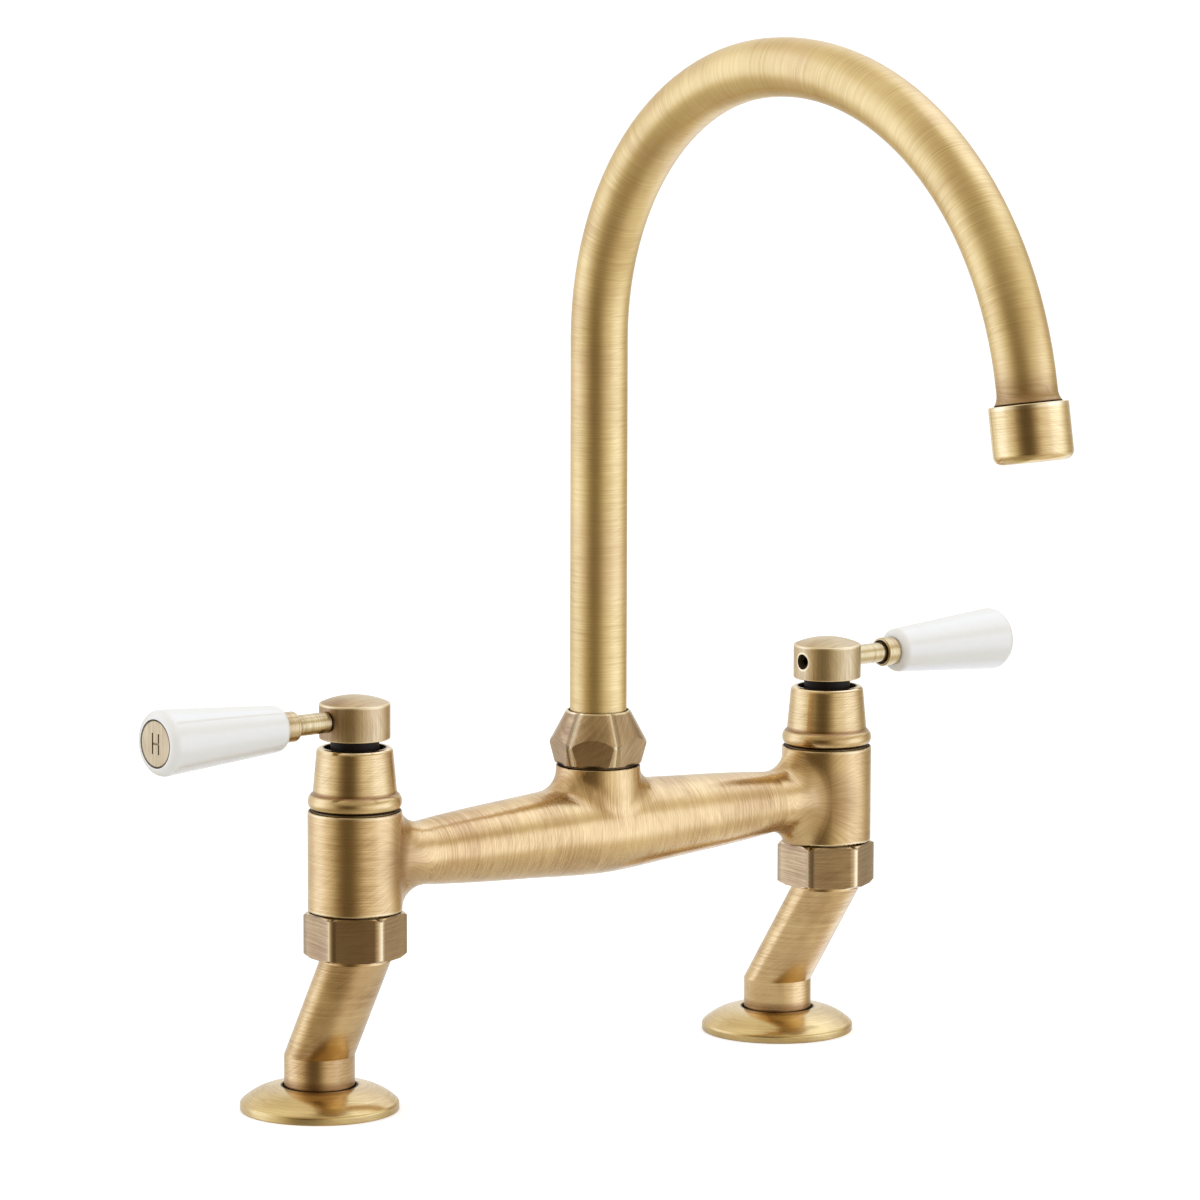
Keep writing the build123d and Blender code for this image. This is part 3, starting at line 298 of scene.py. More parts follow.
def make_ring_mask():
    """A soft band along a circle about Z: 1 on the circle, 0 a width away from it."""
    group, given, result = new_group("ring_mask", [("Vector", VECTOR, ORIGIN), ("Radius", NUMBER, 0.01),
                                                   ("Height", NUMBER, 0.0), ("Width", NUMBER, 0.001)],
                                     [("Mask", NUMBER)])
    flat = vector_calc(group, "MULTIPLY", given["Vector"], (1.0, 1.0, 0.0)).outputs[0]
    radius = vector_calc(group, "LENGTH", flat).outputs["Value"]
    away = joined(group, calc(group, "SUBTRACT", radius, given["Radius"]),
                  calc(group, "SUBTRACT", split(group, given["Vector"])["Z"], given["Height"]), 0.0)
    distance = vector_calc(group, "LENGTH", away).outputs["Value"]
    core = calc(group, "MULTIPLY", given["Width"], RING_CORE)
    group.links.new(ramp(group, distance, core, given["Width"], 1.0, 0.0), result["Mask"])
    return group


def make_corner_mask():
    """A soft band along the six upright corners of a hexagonal nut: 1 on the corner, 0 a width away."""
    group, given, result = new_group("corner_mask", [("Vector", VECTOR, ORIGIN), ("Width", NUMBER, 0.001)],
                                     [("Mask", NUMBER)])
    reaches = []
    for degrees in (0, 60, 120):
        square = (math.cos(math.radians(degrees)), math.sin(math.radians(degrees)), 0.0)
        reach = vector_calc(group, "DOT_PRODUCT", given["Vector"], square).outputs["Value"]
        reaches.append(calc(group, "ABSOLUTE", reach))
    nearest = calc(group, "MAXIMUM", calc(group, "MAXIMUM", reaches[0], reaches[1]), reaches[2])
    furthest = calc(group, "MINIMUM", calc(group, "MINIMUM", reaches[0], reaches[1]), reaches[2])
    # on a corner the two largest reaches are equal
    step = total(group, (nearest, 2.0), furthest, *[(reach, -1.0) for reach in reaches])
    group.links.new(ramp(group, step, 0.0, given["Width"], 1.0, 0.0, False), result["Mask"])
    return group


def make_polar():
    """Coordinates about Z for lines that run round, out from or up a turned part."""
    group, given, result = new_group("polar", [("Vector", VECTOR, ORIGIN)],
                                     [("Radius", NUMBER), ("Arc", NUMBER), ("Height", NUMBER)])
    parts = split(group, given["Vector"])
    flat = vector_calc(group, "MULTIPLY", given["Vector"], (1.0, 1.0, 0.0)).outputs[0]
    group.links.new(vector_calc(group, "LENGTH", flat).outputs["Value"], result["Radius"])
    angle = calc(group, "ARCTAN2", parts["Y"], parts["X"])
    group.links.new(calc(group, "MULTIPLY", angle, ARC_RADIUS), result["Arc"])
    group.links.new(parts["Z"], result["Height"])
    return group


def make_spout_length():
    """The distance along the spout's bent centre line, for lines that run round the tube."""
    group, given, result = new_group("spout_length", [("Vector", VECTOR, ORIGIN)], [("Vector", VECTOR)])
    centred = vector_calc(group, "SUBTRACT", given["Vector"], (0.0, BRIDGE_Y, 0.0)).outputs[0]
    parts = split(group, mapped(group, centred, turn=(0.0, 0.0, -SPOUT_TURN)))
    reach, height = calc(group, "MULTIPLY", parts["Y"], -1.0), parts["Z"]
    length = calc(group, "MINIMUM", height, SPOUT_RISE)
    corner, heading = Vector((0.0, SPOUT_RISE)), 0.0
    for radius, angle in SPOUT_BENDS:
        c, s = math.cos(heading), math.sin(heading)
        middle = corner + Vector((c, -s)) * radius
        over = calc(group, "SUBTRACT", reach, middle.x)
        above = calc(group, "SUBTRACT", height, middle.y)
        swept = calc(group, "ARCTAN2", total(group, (over, s), (above, c)),
                     total(group, (over, -c), (above, s)))
        swept = calc(group, "MINIMUM", calc(group, "MAXIMUM", swept, 0.0), angle)
        length = calc(group, "ADD", length, calc(group, "MULTIPLY", swept, radius))
        heading += angle
        corner = middle - Vector((math.cos(heading), -math.sin(heading))) * radius
    group.links.new(joined(group, parts["X"], reach, length), result["Vector"])
    return group


BRUSH_LINES = make_brush_lines()
BRASS_TONE = make_brass_tone(BRUSH_LINES)
RING_MASK = make_ring_mask()
CORNER_MASK = make_corner_mask()
POLAR = make_polar()
SPOUT_LENGTH = make_spout_length()


# ---------------------------------------------------------------- brass
BRASS_TONES = {
    "Pale": (0.87, 0.66, 0.285, 1.0), "Warm": (0.65, 0.425, 0.13, 1.0), "Rosy": (0.64, 0.385, 0.19, 1.0),
    "Brown": (0.30, 0.145, 0.045, 1.0), "RecessDark": (0.018, 0.007, 0.002, 1.0), "WornAndHighlit": (0.88, 0.71, 0.43, 1.0)}
CAST_TONES = {
    "Pale": (0.82, 0.59, 0.265, 1.0), "Warm": (0.53, 0.305, 0.095, 1.0), "Rosy": (0.54, 0.285, 0.12, 1.0)}
NUT_TONES = {
    "Pale": (0.58, 0.385, 0.17, 1.0), "Warm": (0.23, 0.125, 0.042, 1.0), "Rosy": (0.36, 0.195, 0.105, 1.0)}
BONNET_TONES = {"Pale": (0.82, 0.61, 0.29, 1.0), "Warm": (0.56, 0.355, 0.125, 1.0)}
TUBE_TONES = {"Pale": (0.85, 0.645, 0.28, 1.0), "Warm": (0.69, 0.465, 0.155, 1.0)}
OUTLET_TONES = {"Pale": (0.90, 0.71, 0.36, 1.0), "Warm": (0.72, 0.50, 0.18, 1.0)}
FLANGE_TONES = {"Pale": (0.80, 0.60, 0.25, 1.0), "Warm": (0.56, 0.365, 0.10, 1.0)}
HUB_TONES = {"Pale": (0.76, 0.59, 0.32, 1.0), "Warm": (0.45, 0.315, 0.13, 1.0)}
STEM_TONES = {"Pale": (0.74, 0.58, 0.29, 1.0), "Warm": (0.40, 0.285, 0.11, 1.0)}
CAP_TONES = {"Pale": (0.62, 0.49, 0.27, 1.0), "Warm": (0.46, 0.35, 0.17, 1.0)}
BRUSH_RELIEF = 0.000006
COAT_WEIGHT = 0.5
COAT_ROUGHNESS = 0.2
COAT_IOR = 2.0


def start_material(name):
    """A new node material: the material, its tree, its shader, and the object's own coordinates."""
    material = bpy.data.materials.new(name)
    material.use_nodes = True
    tree = material.node_tree
    return material, tree, tree.nodes["Principled BSDF"], put(tree, "ShaderNodeTexCoord").outputs["Object"]


def finish_brass(tree, shader, lines, place, relief=BRUSH_RELIEF, rounding=None, **tone):
    """Connect the brushed brass effect to a shader, over a normal that rounds the corners if one is given."""
    brushed = effect(tree, BRASS_TONE, Vector=lines, Place=place, **{**BRASS_TONES, **tone})
    bump = put(tree, "ShaderNodeBump", {"Strength": 1.0, "Distance": relief, "Height": brushed["Height"]})
    if rounding:
        tree.links.new(rounding, bump.inputs["Normal"])
    tree.links.new(brushed["Color"], shader.inputs["Base Color"])
    tree.links.new(brushed["Roughness"], shader.inputs["Roughness"])
    tree.links.new(bump.outputs[0], shader.inputs["Normal"])
    shader.inputs["Metallic"].default_value = 1.0
    tree.links.new(calc(tree, "MULTIPLY", brushed["CoatShare"], COAT_WEIGHT), shader.inputs["Coat Weight"])
    shader.inputs["Coat Roughness"].default_value = COAT_ROUGHNESS
    shader.inputs["Coat IOR"].default_value = COAT_IOR


def largest(tree, masks):
    """The largest of several masks."""
    result = 0.0
    for mask in masks:
        result = calc(tree, "MAXIMUM", result, mask)
    return result


def circles(tree, centred, rings):
    """A mask along circles given as (radius, height, width)."""
    return largest(tree, [effect(tree, RING_MASK, Vector=centred, Radius=r, Height=z, Width=w)["Mask"]
                          for r, z, w in rings])


def about(tree, place, x, y):
    """Coordinates centred on an upright axis."""
    return vector_calc(tree, "SUBTRACT", place, (x, y, 0.0)).outputs[0]


def turned_brass(name, axis, dark=(), worn_and_highlit=(), shaded=(), **tone):
    """Brass brushed round an upright axis, with painted shade on its dark and shaded rings and painted
    highlights on its rubbed rims.
    """
    material, tree, shader, place = start_material(name)
    centred = about(tree, place, *axis)
    finish_brass(tree, shader, centred, place, Recess=circles(tree, centred, dark),
                 Shade=circles(tree, centred, shaded), Wear=circles(tree, centred, worn_and_highlit), **tone)
    return material


SPOUT_NUT_SLANT = 0.6
NUT_CORNER_HIGHLIGHT_WIDTH = 0.0050
NUT_CORNER_HIGHLIGHT = 0.16
NUT_EDGE_HIGHLIGHT_WIDTH = 0.0011
NUT_ROUNDING = 0.0018
NUT_ROUNDING_DEPTH = NUT_ROUNDING * 0.30


def nut_brass(name, axis, turn, dark, worn_and_highlit, slant=0.0):
    """A nut: browner brass, with painted highlights paler towards its corners and bright on its rubbed edges,
    and painted shade in its seams.
    """
    material, tree, shader, place = start_material(name)
    centred = mapped(tree, about(tree, place, *axis), turn=(0.0, 0.0, -turn))
    # painted highlights: paler towards the corners, bright along them and on the rubbed rims
    faded = effect(tree, CORNER_MASK, Vector=centred, Width=NUT_CORNER_HIGHLIGHT_WIDTH)["Mask"]
    sharp = effect(tree, CORNER_MASK, Vector=centred, Width=NUT_EDGE_HIGHLIGHT_WIDTH)["Mask"]
    highlight_and_wear = largest(tree, [calc(tree, "MULTIPLY", faded, NUT_CORNER_HIGHLIGHT), sharp, circles(tree, centred, worn_and_highlit)])
    lines = mapped(tree, centred, turn=(slant, slant, 0.0))
    corner = effect(tree, CORNER_MASK, Vector=centred, Width=NUT_ROUNDING)["Mask"]
    rounding = put(tree, "ShaderNodeBump", {"Strength": 1.0, "Distance": NUT_ROUNDING_DEPTH,
                                            "Height": calc(tree, "MULTIPLY", corner, corner)}, invert=True)
    finish_brass(tree, shader, lines, place, rounding=rounding.outputs[0],
                 Recess=circles(tree, centred, dark), Wear=highlight_and_wear, Patina=0.5, Gloss=0.19, **NUT_TONES)
    return material


ARM_LINES_FROM = 0.071
ARM_TO_COLUMN = (0.066, 0.080)
FAN_FROM = -0.002
FAN_SQUEEZE = 0.42
FAN_SHADE_INWARD = 0.0085
FAN_SHADE_FORWARD = 0.0118
FAN_SHADE_REACH = (0.004, 0.015)
FAN_SHADE = 0.65
COLUMN_RIM_WEAR_AND_HIGHLIGHT = 0.6


def bridge_brass():
    """The casting: brushed round its arms, and round its columns in a fan that spreads from each arm, with
    painted shade at each arm's root and in its seams, and painted highlights on its column rims.
    """
    material, tree, shader, place = start_material("bridge_brass")
    parts = split(tree, place)
    across_bridge = calc(tree, "SUBTRACT", parts["Y"], BRIDGE_Y)
    above_arm = calc(tree, "SUBTRACT", parts["Z"], ARM_Z)
    from_middle = calc(tree, "ABSOLUTE", parts["X"])
    side = calc(tree, "SIGN", parts["X"])
    arm_lines = joined(tree, total(tree, across_bridge, side), above_arm,
                       calc(tree, "SUBTRACT", from_middle, ARM_LINES_FROM))
    inward = calc(tree, "SUBTRACT", COLUMN_X, from_middle)
    spread = ramp(tree, inward, FAN_FROM, COLUMN_R, 1.0, FAN_SQUEEZE)
    column_lines = joined(tree, total(tree, inward, side), across_bridge,
                          calc(tree, "DIVIDE", above_arm, spread))
    lines = mix_vector(tree, ramp(tree, from_middle, *ARM_TO_COLUMN), arm_lines, column_lines)
    at_column = joined(tree, inward, across_bridge, parts["Z"])
    centred = about(tree, place, 0.0, BRIDGE_Y)
    # painted shade in the seams
    gaps = circles(tree, at_column, COLUMN_SEAMS)
    # painted highlights on the rubbed column rims
    rims = circles(tree, at_column, COLUMN_RIMS)
    neck = circles(tree, centred, BOSS_SEAM)
    # painted shade: a brown patch on each column where its arm joins it
    from_fan_shade = joined(tree, total(tree, inward, -FAN_SHADE_INWARD),
                        total(tree, across_bridge, FAN_SHADE_FORWARD), above_arm)
    away = vector_calc(tree, "LENGTH", from_fan_shade).outputs["Value"]
    fan_shade = ramp(tree, away, *FAN_SHADE_REACH, FAN_SHADE, 0.0)
    finish_brass(tree, shader, lines, place, Recess=largest(tree, [gaps, neck]), Shade=fan_shade,
                 Wear=calc(tree, "MULTIPLY", rims, COLUMN_RIM_WEAR_AND_HIGHLIGHT), Patina=0.45, Gloss=0.21, **CAST_TONES)
    return material


TUBE_END_REACH = (0.016, 0.020)
TUBE_GAP = (0.0002, 0.0007)
TUBE_END_SHADE_REACH = (0.001, 0.011)
TUBE_END_SHADE = 0.8


def spout_brass():
    """The bent tube, brushed round its length, with painted shade browning it above the outlet and darkening
    the gap there.
    """
    material, tree, shader, place = start_material("spout_brass")
    lines = effect(tree, SPOUT_LENGTH, Vector=place)["Vector"]
    from_top = vector_calc(tree, "SUBTRACT", place, OUTLET_TOP).outputs[0]
    along = vector_calc(tree, "DOT_PRODUCT", from_top, OUTLET_AXIS).outputs["Value"]
    above = calc(tree, "MULTIPLY", along, -1.0)
    near = ramp(tree, vector_calc(tree, "LENGTH", from_top).outputs["Value"], *TUBE_END_REACH, 1.0, 0.0)
    # painted shade in the gap where the tube enters the outlet, and browning the tube just above it
    gap = calc(tree, "MULTIPLY", near, ramp(tree, above, *TUBE_GAP, 1.0, 0.0))
    shaded_end = calc(tree, "MULTIPLY", near, ramp(tree, above, *TUBE_END_SHADE_REACH, TUBE_END_SHADE, 0.0))
    finish_brass(tree, shader, lines, place, Patina=0.2, Gloss=0.37, Recess=gap, Shade=shaded_end, **TUBE_TONES)
    return material


OUTLET_TOP_BAND = (0.0008, 0.0016)
OUTLET_GAP = (OUTLET_R - 0.0011, OUTLET_R - 0.0007)
OUTLET_RIM = (OUTLET_R - 0.0007, OUTLET_R - 0.0003)


def outlet_brass():
    """The outlet housing, turned about its own axis, with a rubbed top rim carrying a painted highlight round
    a gap darkened with painted shade.
    """
    material, tree, shader, place = start_material("outlet_brass")
    from_top = vector_calc(tree, "SUBTRACT", place, OUTLET_TOP).outputs[0]
    along = vector_calc(tree, "DOT_PRODUCT", from_top, OUTLET_AXIS).outputs["Value"]
    away = vector_calc(tree, "CROSS_PRODUCT", from_top, OUTLET_AXIS).outputs[0]
    radius = vector_calc(tree, "LENGTH", away).outputs["Value"]
    lines = joined(tree, split(tree, from_top)["X"], split(tree, from_top)["Y"], along)
    upper = ramp(tree, along, *OUTLET_TOP_BAND, 1.0, 0.0)
    # painted shade in the gap inside the top rim
    gap = calc(tree, "MULTIPLY", upper, ramp(tree, radius, *OUTLET_GAP, 1.0, 0.0))
    # a painted highlight on the rubbed top rim
    rim = calc(tree, "MULTIPLY", upper, ramp(tree, radius, *OUTLET_RIM))
    finish_brass(tree, shader, lines, place, Patina=0.3, Gloss=0.12, Recess=gap, Wear=rim, **OUTLET_TONES)
    return material


FLANGE_RELIEF = 0.000004
FLANGE_SLOPE = -0.6


def flange_brass(name, axis):
    """Smoother brass turned in circles, with painted shade round the leg."""
    material, tree, shader, place = start_material(name)
    centred = about(tree, place, *axis)
    polar = effect(tree, POLAR, Vector=centred)
    lines = joined(tree, polar["Arc"], 0.0, total(tree, polar["Radius"], (polar["Height"], FLANGE_SLOPE)))
    finish_brass(tree, shader, lines, place, relief=FLANGE_RELIEF, Recess=circles(tree, centred, FLANGE_SEAM),
                 Patina=0.35, Gloss=0.17, **FLANGE_TONES)
    return material


HUB_EDGE = 0.0004
HUB_FAR_SIDE = (0.004, 0.006)
HUB_STEM_SIDE = (0.002, 0.006)
HUB_STEM_SHADE = 0.75


def hub_brass(name, axis, side):
    """The lever hub: upright brushing on its side, satin on its dome, a rubbed rim round the screw hole,
    painted highlights on its rims, and painted shade beside the stem and at its base.
    """
    material, tree, shader, place = start_material(name)
    centred = about(tree, place, *axis)
    parts = split(tree, centred)
    polar = effect(tree, POLAR, Vector=centred)
    upright = joined(tree, 0.0, parts["Z"], polar["Arc"])
    level = joined(tree, parts["X"], parts["Z"], parts["Y"])
    on_dome = ramp(tree, parts["Z"], HUB_SHOULDER_Z - HUB_EDGE, HUB_SHOULDER_Z, smooth=False)
    lines = mix_vector(tree, on_dome, upright, level)
    about_screw = joined(tree, parts["Y"], calc(tree, "SUBTRACT", parts["Z"], LEVER_Z), 0.0)
    far_side = ramp(tree, calc(tree, "MULTIPLY", parts["X"], -side), *HUB_FAR_SIDE)
    stem_side = ramp(tree, calc(tree, "MULTIPLY", parts["X"], side), *HUB_STEM_SIDE, 0.0, HUB_STEM_SHADE)
    rim = calc(tree, "MULTIPLY", circles(tree, about_screw, SCREW_HOLE_RIM), far_side)
    near_stem = calc(tree, "MULTIPLY", circles(tree, about_screw, STEM_SHADOW), stem_side)
    # painted highlights on the hub's rims
    edges = circles(tree, centred, HUB_RIMS)
    finish_brass(tree, shader, lines, place, Recess=circles(tree, centred, HUB_SEAM), Shade=near_stem,
                 Wear=largest(tree, [rim, edges]), Patina=0.4, Gloss=0.34, **HUB_TONES)
    return material


def along_lever(tree, place, side):
    """Coordinates whose Z runs out along a lever from its hub's axis."""
    parts = split(tree, vector_calc(tree, "SUBTRACT", place, (side * COLUMN_X, BRIDGE_Y, LEVER_Z)).outputs[0])
    return joined(tree, parts["Y"], parts["Z"], calc(tree, "MULTIPLY", parts["X"], side))


def lever_brass(name, side):
    """The stem and its collar, turned about the lever's own axis, with painted shade at the collar's joints
    and where the stem meets the hub.
    """
    material, tree, shader, place = start_material(name)
    lying = along_lever(tree, place, side)
    finish_brass(tree, shader, lying, place, Recess=circles(tree, lying, STEM_SEAMS), Patina=0.4, Gloss=0.22,
                 **STEM_TONES)
    return material


LETTER_DEPTHS = (CAP_FACE - 0.00030, CAP_FACE - 0.00014)
LETTER_DARKNESS = 0.55
CAP_DARKENING = 0.85


def cap_brass(name, side):
    """The index cap: pale rosy brass with its letter darkened and painted shade round its rim."""
    material, tree, shader, place = start_material(name)
    lying = along_lever(tree, place, side)
    parts = split(tree, lying)
    letter = ramp(tree, parts["Z"], *LETTER_DEPTHS, LETTER_DARKNESS, 0.0)
    marks = largest(tree, [letter, circles(tree, lying, CAP_RIM)])
    lines = joined(tree, parts["Y"], 0.0, parts["X"])
    finish_brass(tree, shader, lines, place, Recess=calc(tree, "MULTIPLY", marks, CAP_DARKENING),
                 Patina=0.3, Gloss=0.3, **CAP_TONES)
    return material


# ---------------------------------------------------------------- other finishes
COARSER = 12.0


def grained(name, colour, roughness, grain, metallic=0.0, relief=0.00001, spread=0.12, coat=0.0,
            specular=0.5):
    """A moulded, machined, glazed or rubber finish with a fine grain."""
    material, tree, shader, place = start_material(name)
    fine = noise(tree, place, grain, detail=3.0, roughness=0.6)
    coarse = noise(tree, place, grain / COARSER)
    shade = ramp(tree, total(tree, (fine, 0.6), (coarse, 0.4)), 0.3, 0.7, smooth=False)
    darker = tuple(c * (1.0 - spread) for c in colour) + (1.0,)
    tree.links.new(mix_colour(tree, shade, darker, colour + (1.0,)), shader.inputs["Base Color"])
    rough = ramp(tree, shade, 0.0, 1.0, roughness * 1.2, roughness * 0.85, smooth=False)
    tree.links.new(rough, shader.inputs["Roughness"])
    bump = put(tree, "ShaderNodeBump", {"Strength": 1.0, "Distance": relief, "Height": fine})
    tree.links.new(bump.outputs[0], shader.inputs["Normal"])
    shader.inputs["Metallic"].default_value = metallic
    shader.inputs["Coat Weight"].default_value = coat
    shader.inputs["Specular IOR Level"].default_value = specular
    return material


def dress(node, material):
    """Give a CAD node one material."""
    slots = nodes[node].data.materials
    for index in range(len(slots)):
        slots[index] = material


def dress_all():
    """Give every node its finish."""
    by_slot = {
        "brushed_brass": grained("inner_brass", (0.62, 0.43, 0.17), 0.30, metallic=1.0, grain=1500.0),
        "plain_brass": grained("machined_brass", (0.68, 0.49, 0.22), 0.28, metallic=1.0, grain=1500.0),
        "rubber": grained("seal_rubber", (0.025, 0.025, 0.026), 0.62, grain=1300.0, relief=0.00003,
                          spread=0.3),
        "steel": grained("zinc_steel", (0.50, 0.50, 0.52), 0.34, metallic=1.0, grain=1400.0),
        "ceramic_disc": grained("disc_ceramic", (0.80, 0.79, 0.75), 0.22, grain=2000.0, relief=0.000004,
                                spread=0.05),
        "black_plastic": grained("black_moulding", (0.020, 0.012, 0.008), 0.5, grain=1800.0, relief=0.000006,
                                 spread=0.3, specular=0.2),
        "white_ceramic": grained("white_glaze", (0.86, 0.845, 0.80), 0.16, grain=240.0, relief=0.000012,
                                 spread=0.03, coat=0.7),
    }
    for row in frame["record"]["subparts"]:
        dress(row["node"], by_slot[row["material_slot"]])
    middle = (0.0, BRIDGE_Y)
    dress("bridge_body", bridge_brass())
    dress("spout_tube", spout_brass())
    dress("aerator_housing", outlet_brass())
    dress("spout_nut", nut_brass("spout_nut_brass", middle, SPOUT_NUT_TURN, dark=SPOUT_NUT_SEAMS,
                                 worn_and_highlit=SPOUT_NUT_RIM, slant=SPOUT_NUT_SLANT))
    screw = grained("black_screw", (0.03, 0.028, 0.027), 0.3, metallic=1.0, grain=1500.0)
    for side, sign in SIDES.items():
        column, tail = (sign * COLUMN_X, BRIDGE_Y), (sign * TAIL_X, 0.0)
        dress(side + "_bonnet", turned_brass(side + "_bonnet_brass", column, dark=BONNET_SEAMS,
                                             worn_and_highlit=BONNET_RIM, shaded=BEAD_GROOVE, Gloss=0.15, Patina=0.4,
                                             **BONNET_TONES))
        dress(side + "_lever_hub", hub_brass(side + "_hub_brass", column, sign))
        dress(side + "_lever_stem", lever_brass(side + "_stem_brass", sign))
        dress(side + "_index_cap", cap_brass(side + "_cap_brass", sign))
        dress(side + "_union_nut", nut_brass(side + "_union_nut_brass", column, UNION_NUT_TURN[side],
                                             dark=UNION_NUT_SEAM, worn_and_highlit=UNION_NUT_RIMS))
        dress(side + "_leg", turned_brass(side + "_leg_brass", tail, shaded=LEG_FOOT_SHADE, Patina=0.45, Gloss=0.15,
                                          **CAST_TONES))
        dress(side + "_flange", flange_brass(side + "_flange_brass", tail))
        dress(side + "_grub_screw", screw)


# ---------------------------------------------------------------- studio
FLOOR_SIZE = 40.0
FLOOR_GREY = (0.80, 0.80, 0.80, 1.0)
FLOOR_GLOW = 0.42
# the metal mirrors the floor up to the first distance from the origin, and nothing of it past the second
FLOOR_MIRRORED = (0.06, 0.14)
LIGHT_ON_PLAIN_THINGS = 0.86
WHITE = (1.0, 1.0, 1.0, 1.0)
# bearing in degrees, 0 towards the camera and rising to its right, and how bright the metal sees that side:
# level, 27 degrees up, 48 degrees up, and 33 degrees down
BACKDROP = [
    (-180, 0.95), (-150, 0.82), (-125, 0.98), (-98, 1.38), (-72, 1.06), (-52, 0.66), (-34, 0.24), (-20, 0.13),
    (-6, 0.15), (6, 0.32), (16, 0.56), (28, 0.88), (50, 1.15), (76, 1.50), (98, 1.20), (115, 0.74),
    (135, 0.52), (158, 0.72), (180, 0.95)]
BETWEEN = [
    (-180, 1.00), (-140, 1.00), (-103, 1.35), (-72, 0.98), (-40, 0.50), (0, 0.42), (30, 0.56), (60, 0.74),
    (85, 0.80), (105, 0.95), (145, 1.15), (180, 1.00)]
OVERHEAD = [
    (-180, 1.00), (-138, 0.82), (-112, 0.98), (-60, 0.75), (-20, 0.50), (20, 0.60), (60, 0.95), (94, 1.38),
    (113, 1.52), (144, 1.50), (165, 1.20), (180, 1.00)]
BELOW = [
    (-180, 0.75), (-153, 0.60), (-115, 0.68), (-60, 0.45), (-20, 0.38), (20, 0.60), (60, 0.85), (90, 0.85),
    (112, 0.95), (148, 1.20), (180, 0.75)]
# the heights, as sines, at which each of them starts to show and at which it has taken over
LAYERS = [(BETWEEN, 0.22, 0.46), (OVERHEAD, 0.50, 0.74), (BELOW, -0.18, -0.55)]
BRIGHTEST = 2.0
# dim sides are warm and the brightest are cool: from and to which level each tint comes in
DIM_TINT = (1.0, 0.74, 0.40, 1.0)
TINTS = [(0.10, 0.55, (1.0, 0.915, 0.74, 1.0)), (0.60, 1.00, (0.99, 1.0, 1.0, 1.0)),
         (1.00, 1.35, (0.96, 1.06, 1.32, 1.0))]
# name, place and size in metres, and power in watts
SOFTBOXES = [
    ("left_softbox", (-1.5, 0.35, 0.9), (0.9, 1.4), 2.0),
    ("right_softbox", (1.2, -1.1, 0.8), (0.9, 1.4), 2.0),
    ("overhead_softbox", (-0.2, -0.3, 1.7), (1.6, 1.2), 4.0)]
LAMP_AIM = Vector((0.0, -0.06, 0.13))


def level_curve(tree, turned, levels):
    """A brightness that follows the bearing, given as a share of the full turn."""
    curve = put(tree, "ShaderNodeFloatCurve", {"Value": turned})
    points = curve.mapping.curves[0].points
    while len(points) < len(levels):
        points.new(0.5, 0.5)
    for point, (degrees, level) in zip(points, levels):
        point.location = ((degrees + 180) / 360, level / BRIGHTEST)
    curve.mapping.update()
    return calc(tree, "MULTIPLY", curve.outputs[0], BRIGHTEST)


def backdrop_level(tree, direction):
    """How bright the surroundings are in a direction, as the metal mirrors them."""
    height = split(tree, direction)["Z"]
    c, s = math.cos(CAMERA_AZIMUTH), math.sin(CAMERA_AZIMUTH)
    towards = vector_calc(tree, "DOT_PRODUCT", direction, (-s, -c, 0.0))
    right = vector_calc(tree, "DOT_PRODUCT", direction, (c, -s, 0.0))
    bearing = calc(tree, "ARCTAN2", right.outputs["Value"], towards.outputs["Value"])
    turned = ramp(tree, bearing, -math.pi, math.pi, smooth=False)
    level = level_curve(tree, turned, BACKDROP)
    for levels, start, end in LAYERS:
        share = ramp(tree, height, start, end)
        level = total(tree, calc(tree, "MULTIPLY", level, calc(tree, "SUBTRACT", 1.0, share)),
                      calc(tree, "MULTIPLY", level_curve(tree, turned, levels), share))
    return level


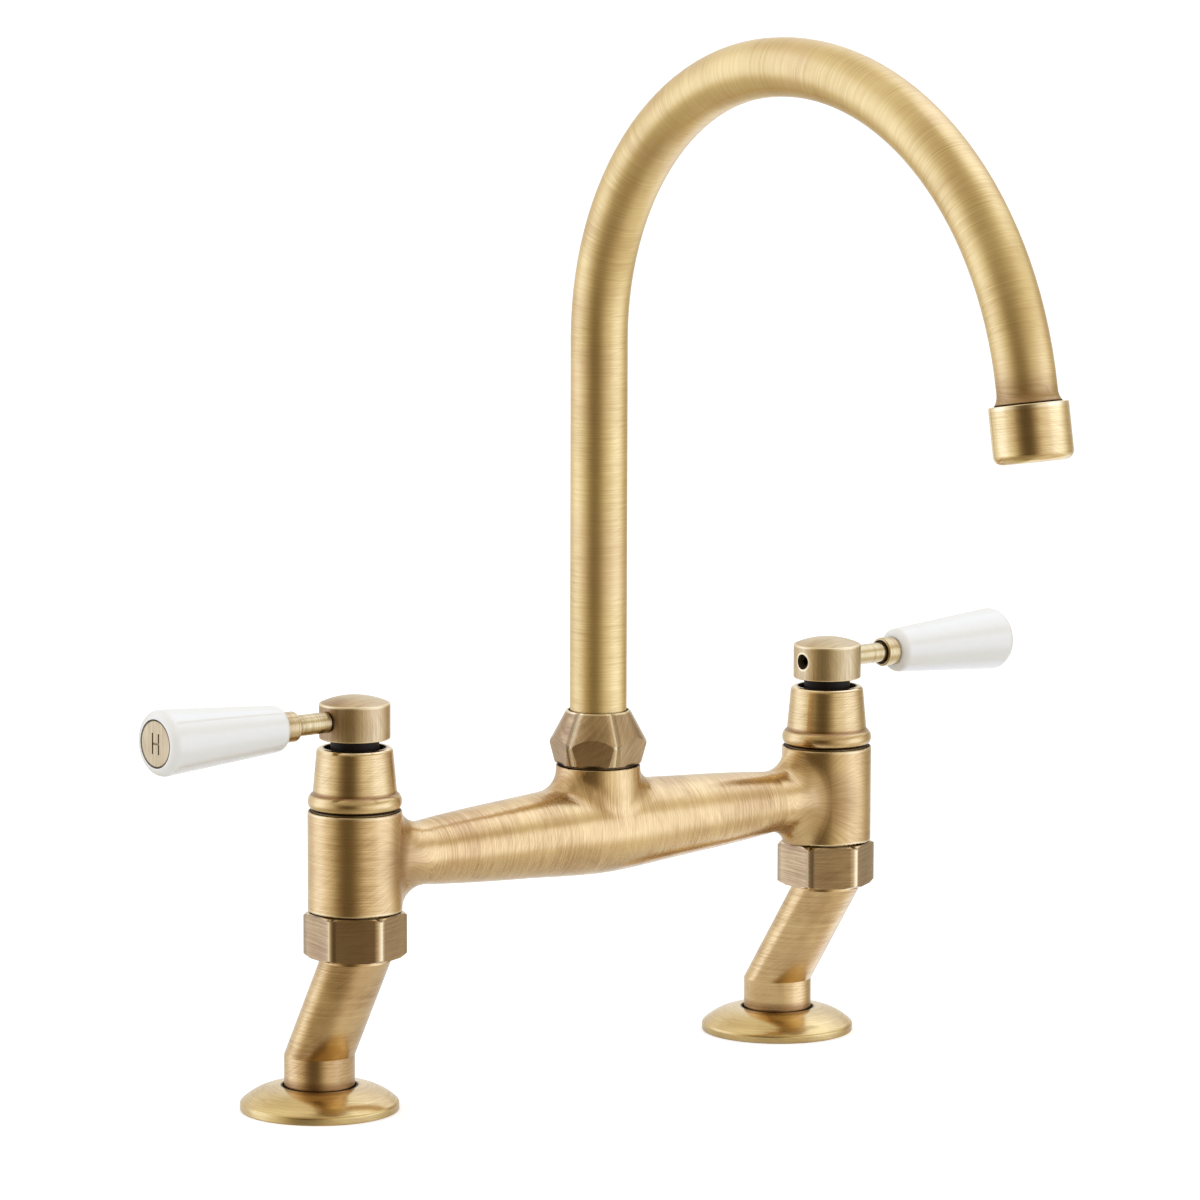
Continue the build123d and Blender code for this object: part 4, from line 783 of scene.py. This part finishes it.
def studio_world():
    """White surroundings, with the bright and dim sides that the metal mirrors."""
    world = bpy.data.worlds.new("studio")
    scene.world = world
    world.use_nodes = True
    tree = world.node_tree
    tree.nodes.clear()
    level = backdrop_level(tree, put(tree, "ShaderNodeTexCoord").outputs["Generated"])
    tint = DIM_TINT
    for start, end, colour in TINTS:
        tint = mix_colour(tree, ramp(tree, level, start, end, smooth=False), tint, colour)
    path = put(tree, "ShaderNodeLightPath")
    mirrored = put(tree, "ShaderNodeBackground", {"Color": tint, "Strength": level})
    plain = put(tree, "ShaderNodeBackground", {"Color": WHITE, "Strength": LIGHT_ON_PLAIN_THINGS})
    shown = put(tree, "ShaderNodeBackground", {"Color": WHITE, "Strength": 1.0})
    lit = put(tree, "ShaderNodeMixShader", {0: path.outputs["Is Glossy Ray"], 1: plain.outputs[0],
                                            2: mirrored.outputs[0]})
    seen = put(tree, "ShaderNodeMixShader", {0: path.outputs["Is Camera Ray"], 1: lit.outputs[0],
                                             2: shown.outputs[0]})
    put(tree, "ShaderNodeOutputWorld", {"Surface": seen.outputs[0]})


def floor_material():
    """A pale floor that shows as white and keeps the tap's shadow; metal mirrors only its near part."""
    material, tree, shader, place = start_material("floor")
    tree.nodes.remove(shader)
    path = put(tree, "ShaderNodeLightPath")
    matt = put(tree, "ShaderNodeBsdfDiffuse", {"Color": FLOOR_GREY})
    strength = calc(tree, "MULTIPLY", path.outputs["Is Camera Ray"], FLOOR_GLOW)
    glow = put(tree, "ShaderNodeEmission", {"Color": WHITE, "Strength": strength})
    both = put(tree, "ShaderNodeAddShader", {0: matt.outputs[0], 1: glow.outputs[0]})
    distance = vector_calc(tree, "LENGTH", place).outputs["Value"]
    far = calc(tree, "MULTIPLY", path.outputs["Is Glossy Ray"], ramp(tree, distance, *FLOOR_MIRRORED))
    clear = put(tree, "ShaderNodeBsdfTransparent")
    shown = put(tree, "ShaderNodeMixShader", {0: far, 1: both.outputs[0], 2: clear.outputs[0]})
    tree.links.new(shown.outputs[0], tree.nodes["Material Output"].inputs["Surface"])
    return material


def add_floor():
    """The surface that the tap stands on."""
    bpy.ops.object.select_all(action="DESELECT")
    bpy.ops.mesh.primitive_plane_add(size=FLOOR_SIZE, location=(0.0, 0.0, 0.0))
    floor = bpy.context.object
    floor.name = "floor"
    floor.data.materials.append(floor_material())


def add_softbox(name, place, size, power):
    """One soft lamp aimed at the middle of the tap, which lights it but isn't mirrored."""
    data = bpy.data.lights.new(name, "AREA")
    data.shape = "RECTANGLE"
    data.size, data.size_y = size
    data.energy = power
    lamp = bpy.data.objects.new(name, data)
    scene.collection.objects.link(lamp)
    lamp.visible_glossy = False
    place = Vector(place)
    aim = LAMP_AIM - place
    lamp.matrix_world = Matrix.Translation(place) @ aim.to_track_quat("-Z", "Y").to_matrix().to_4x4()


add_camera()
add_floor()
studio_world()
for softbox in SOFTBOXES:
    add_softbox(*softbox)
dress_all()
scene.view_settings.view_transform = "Standard"
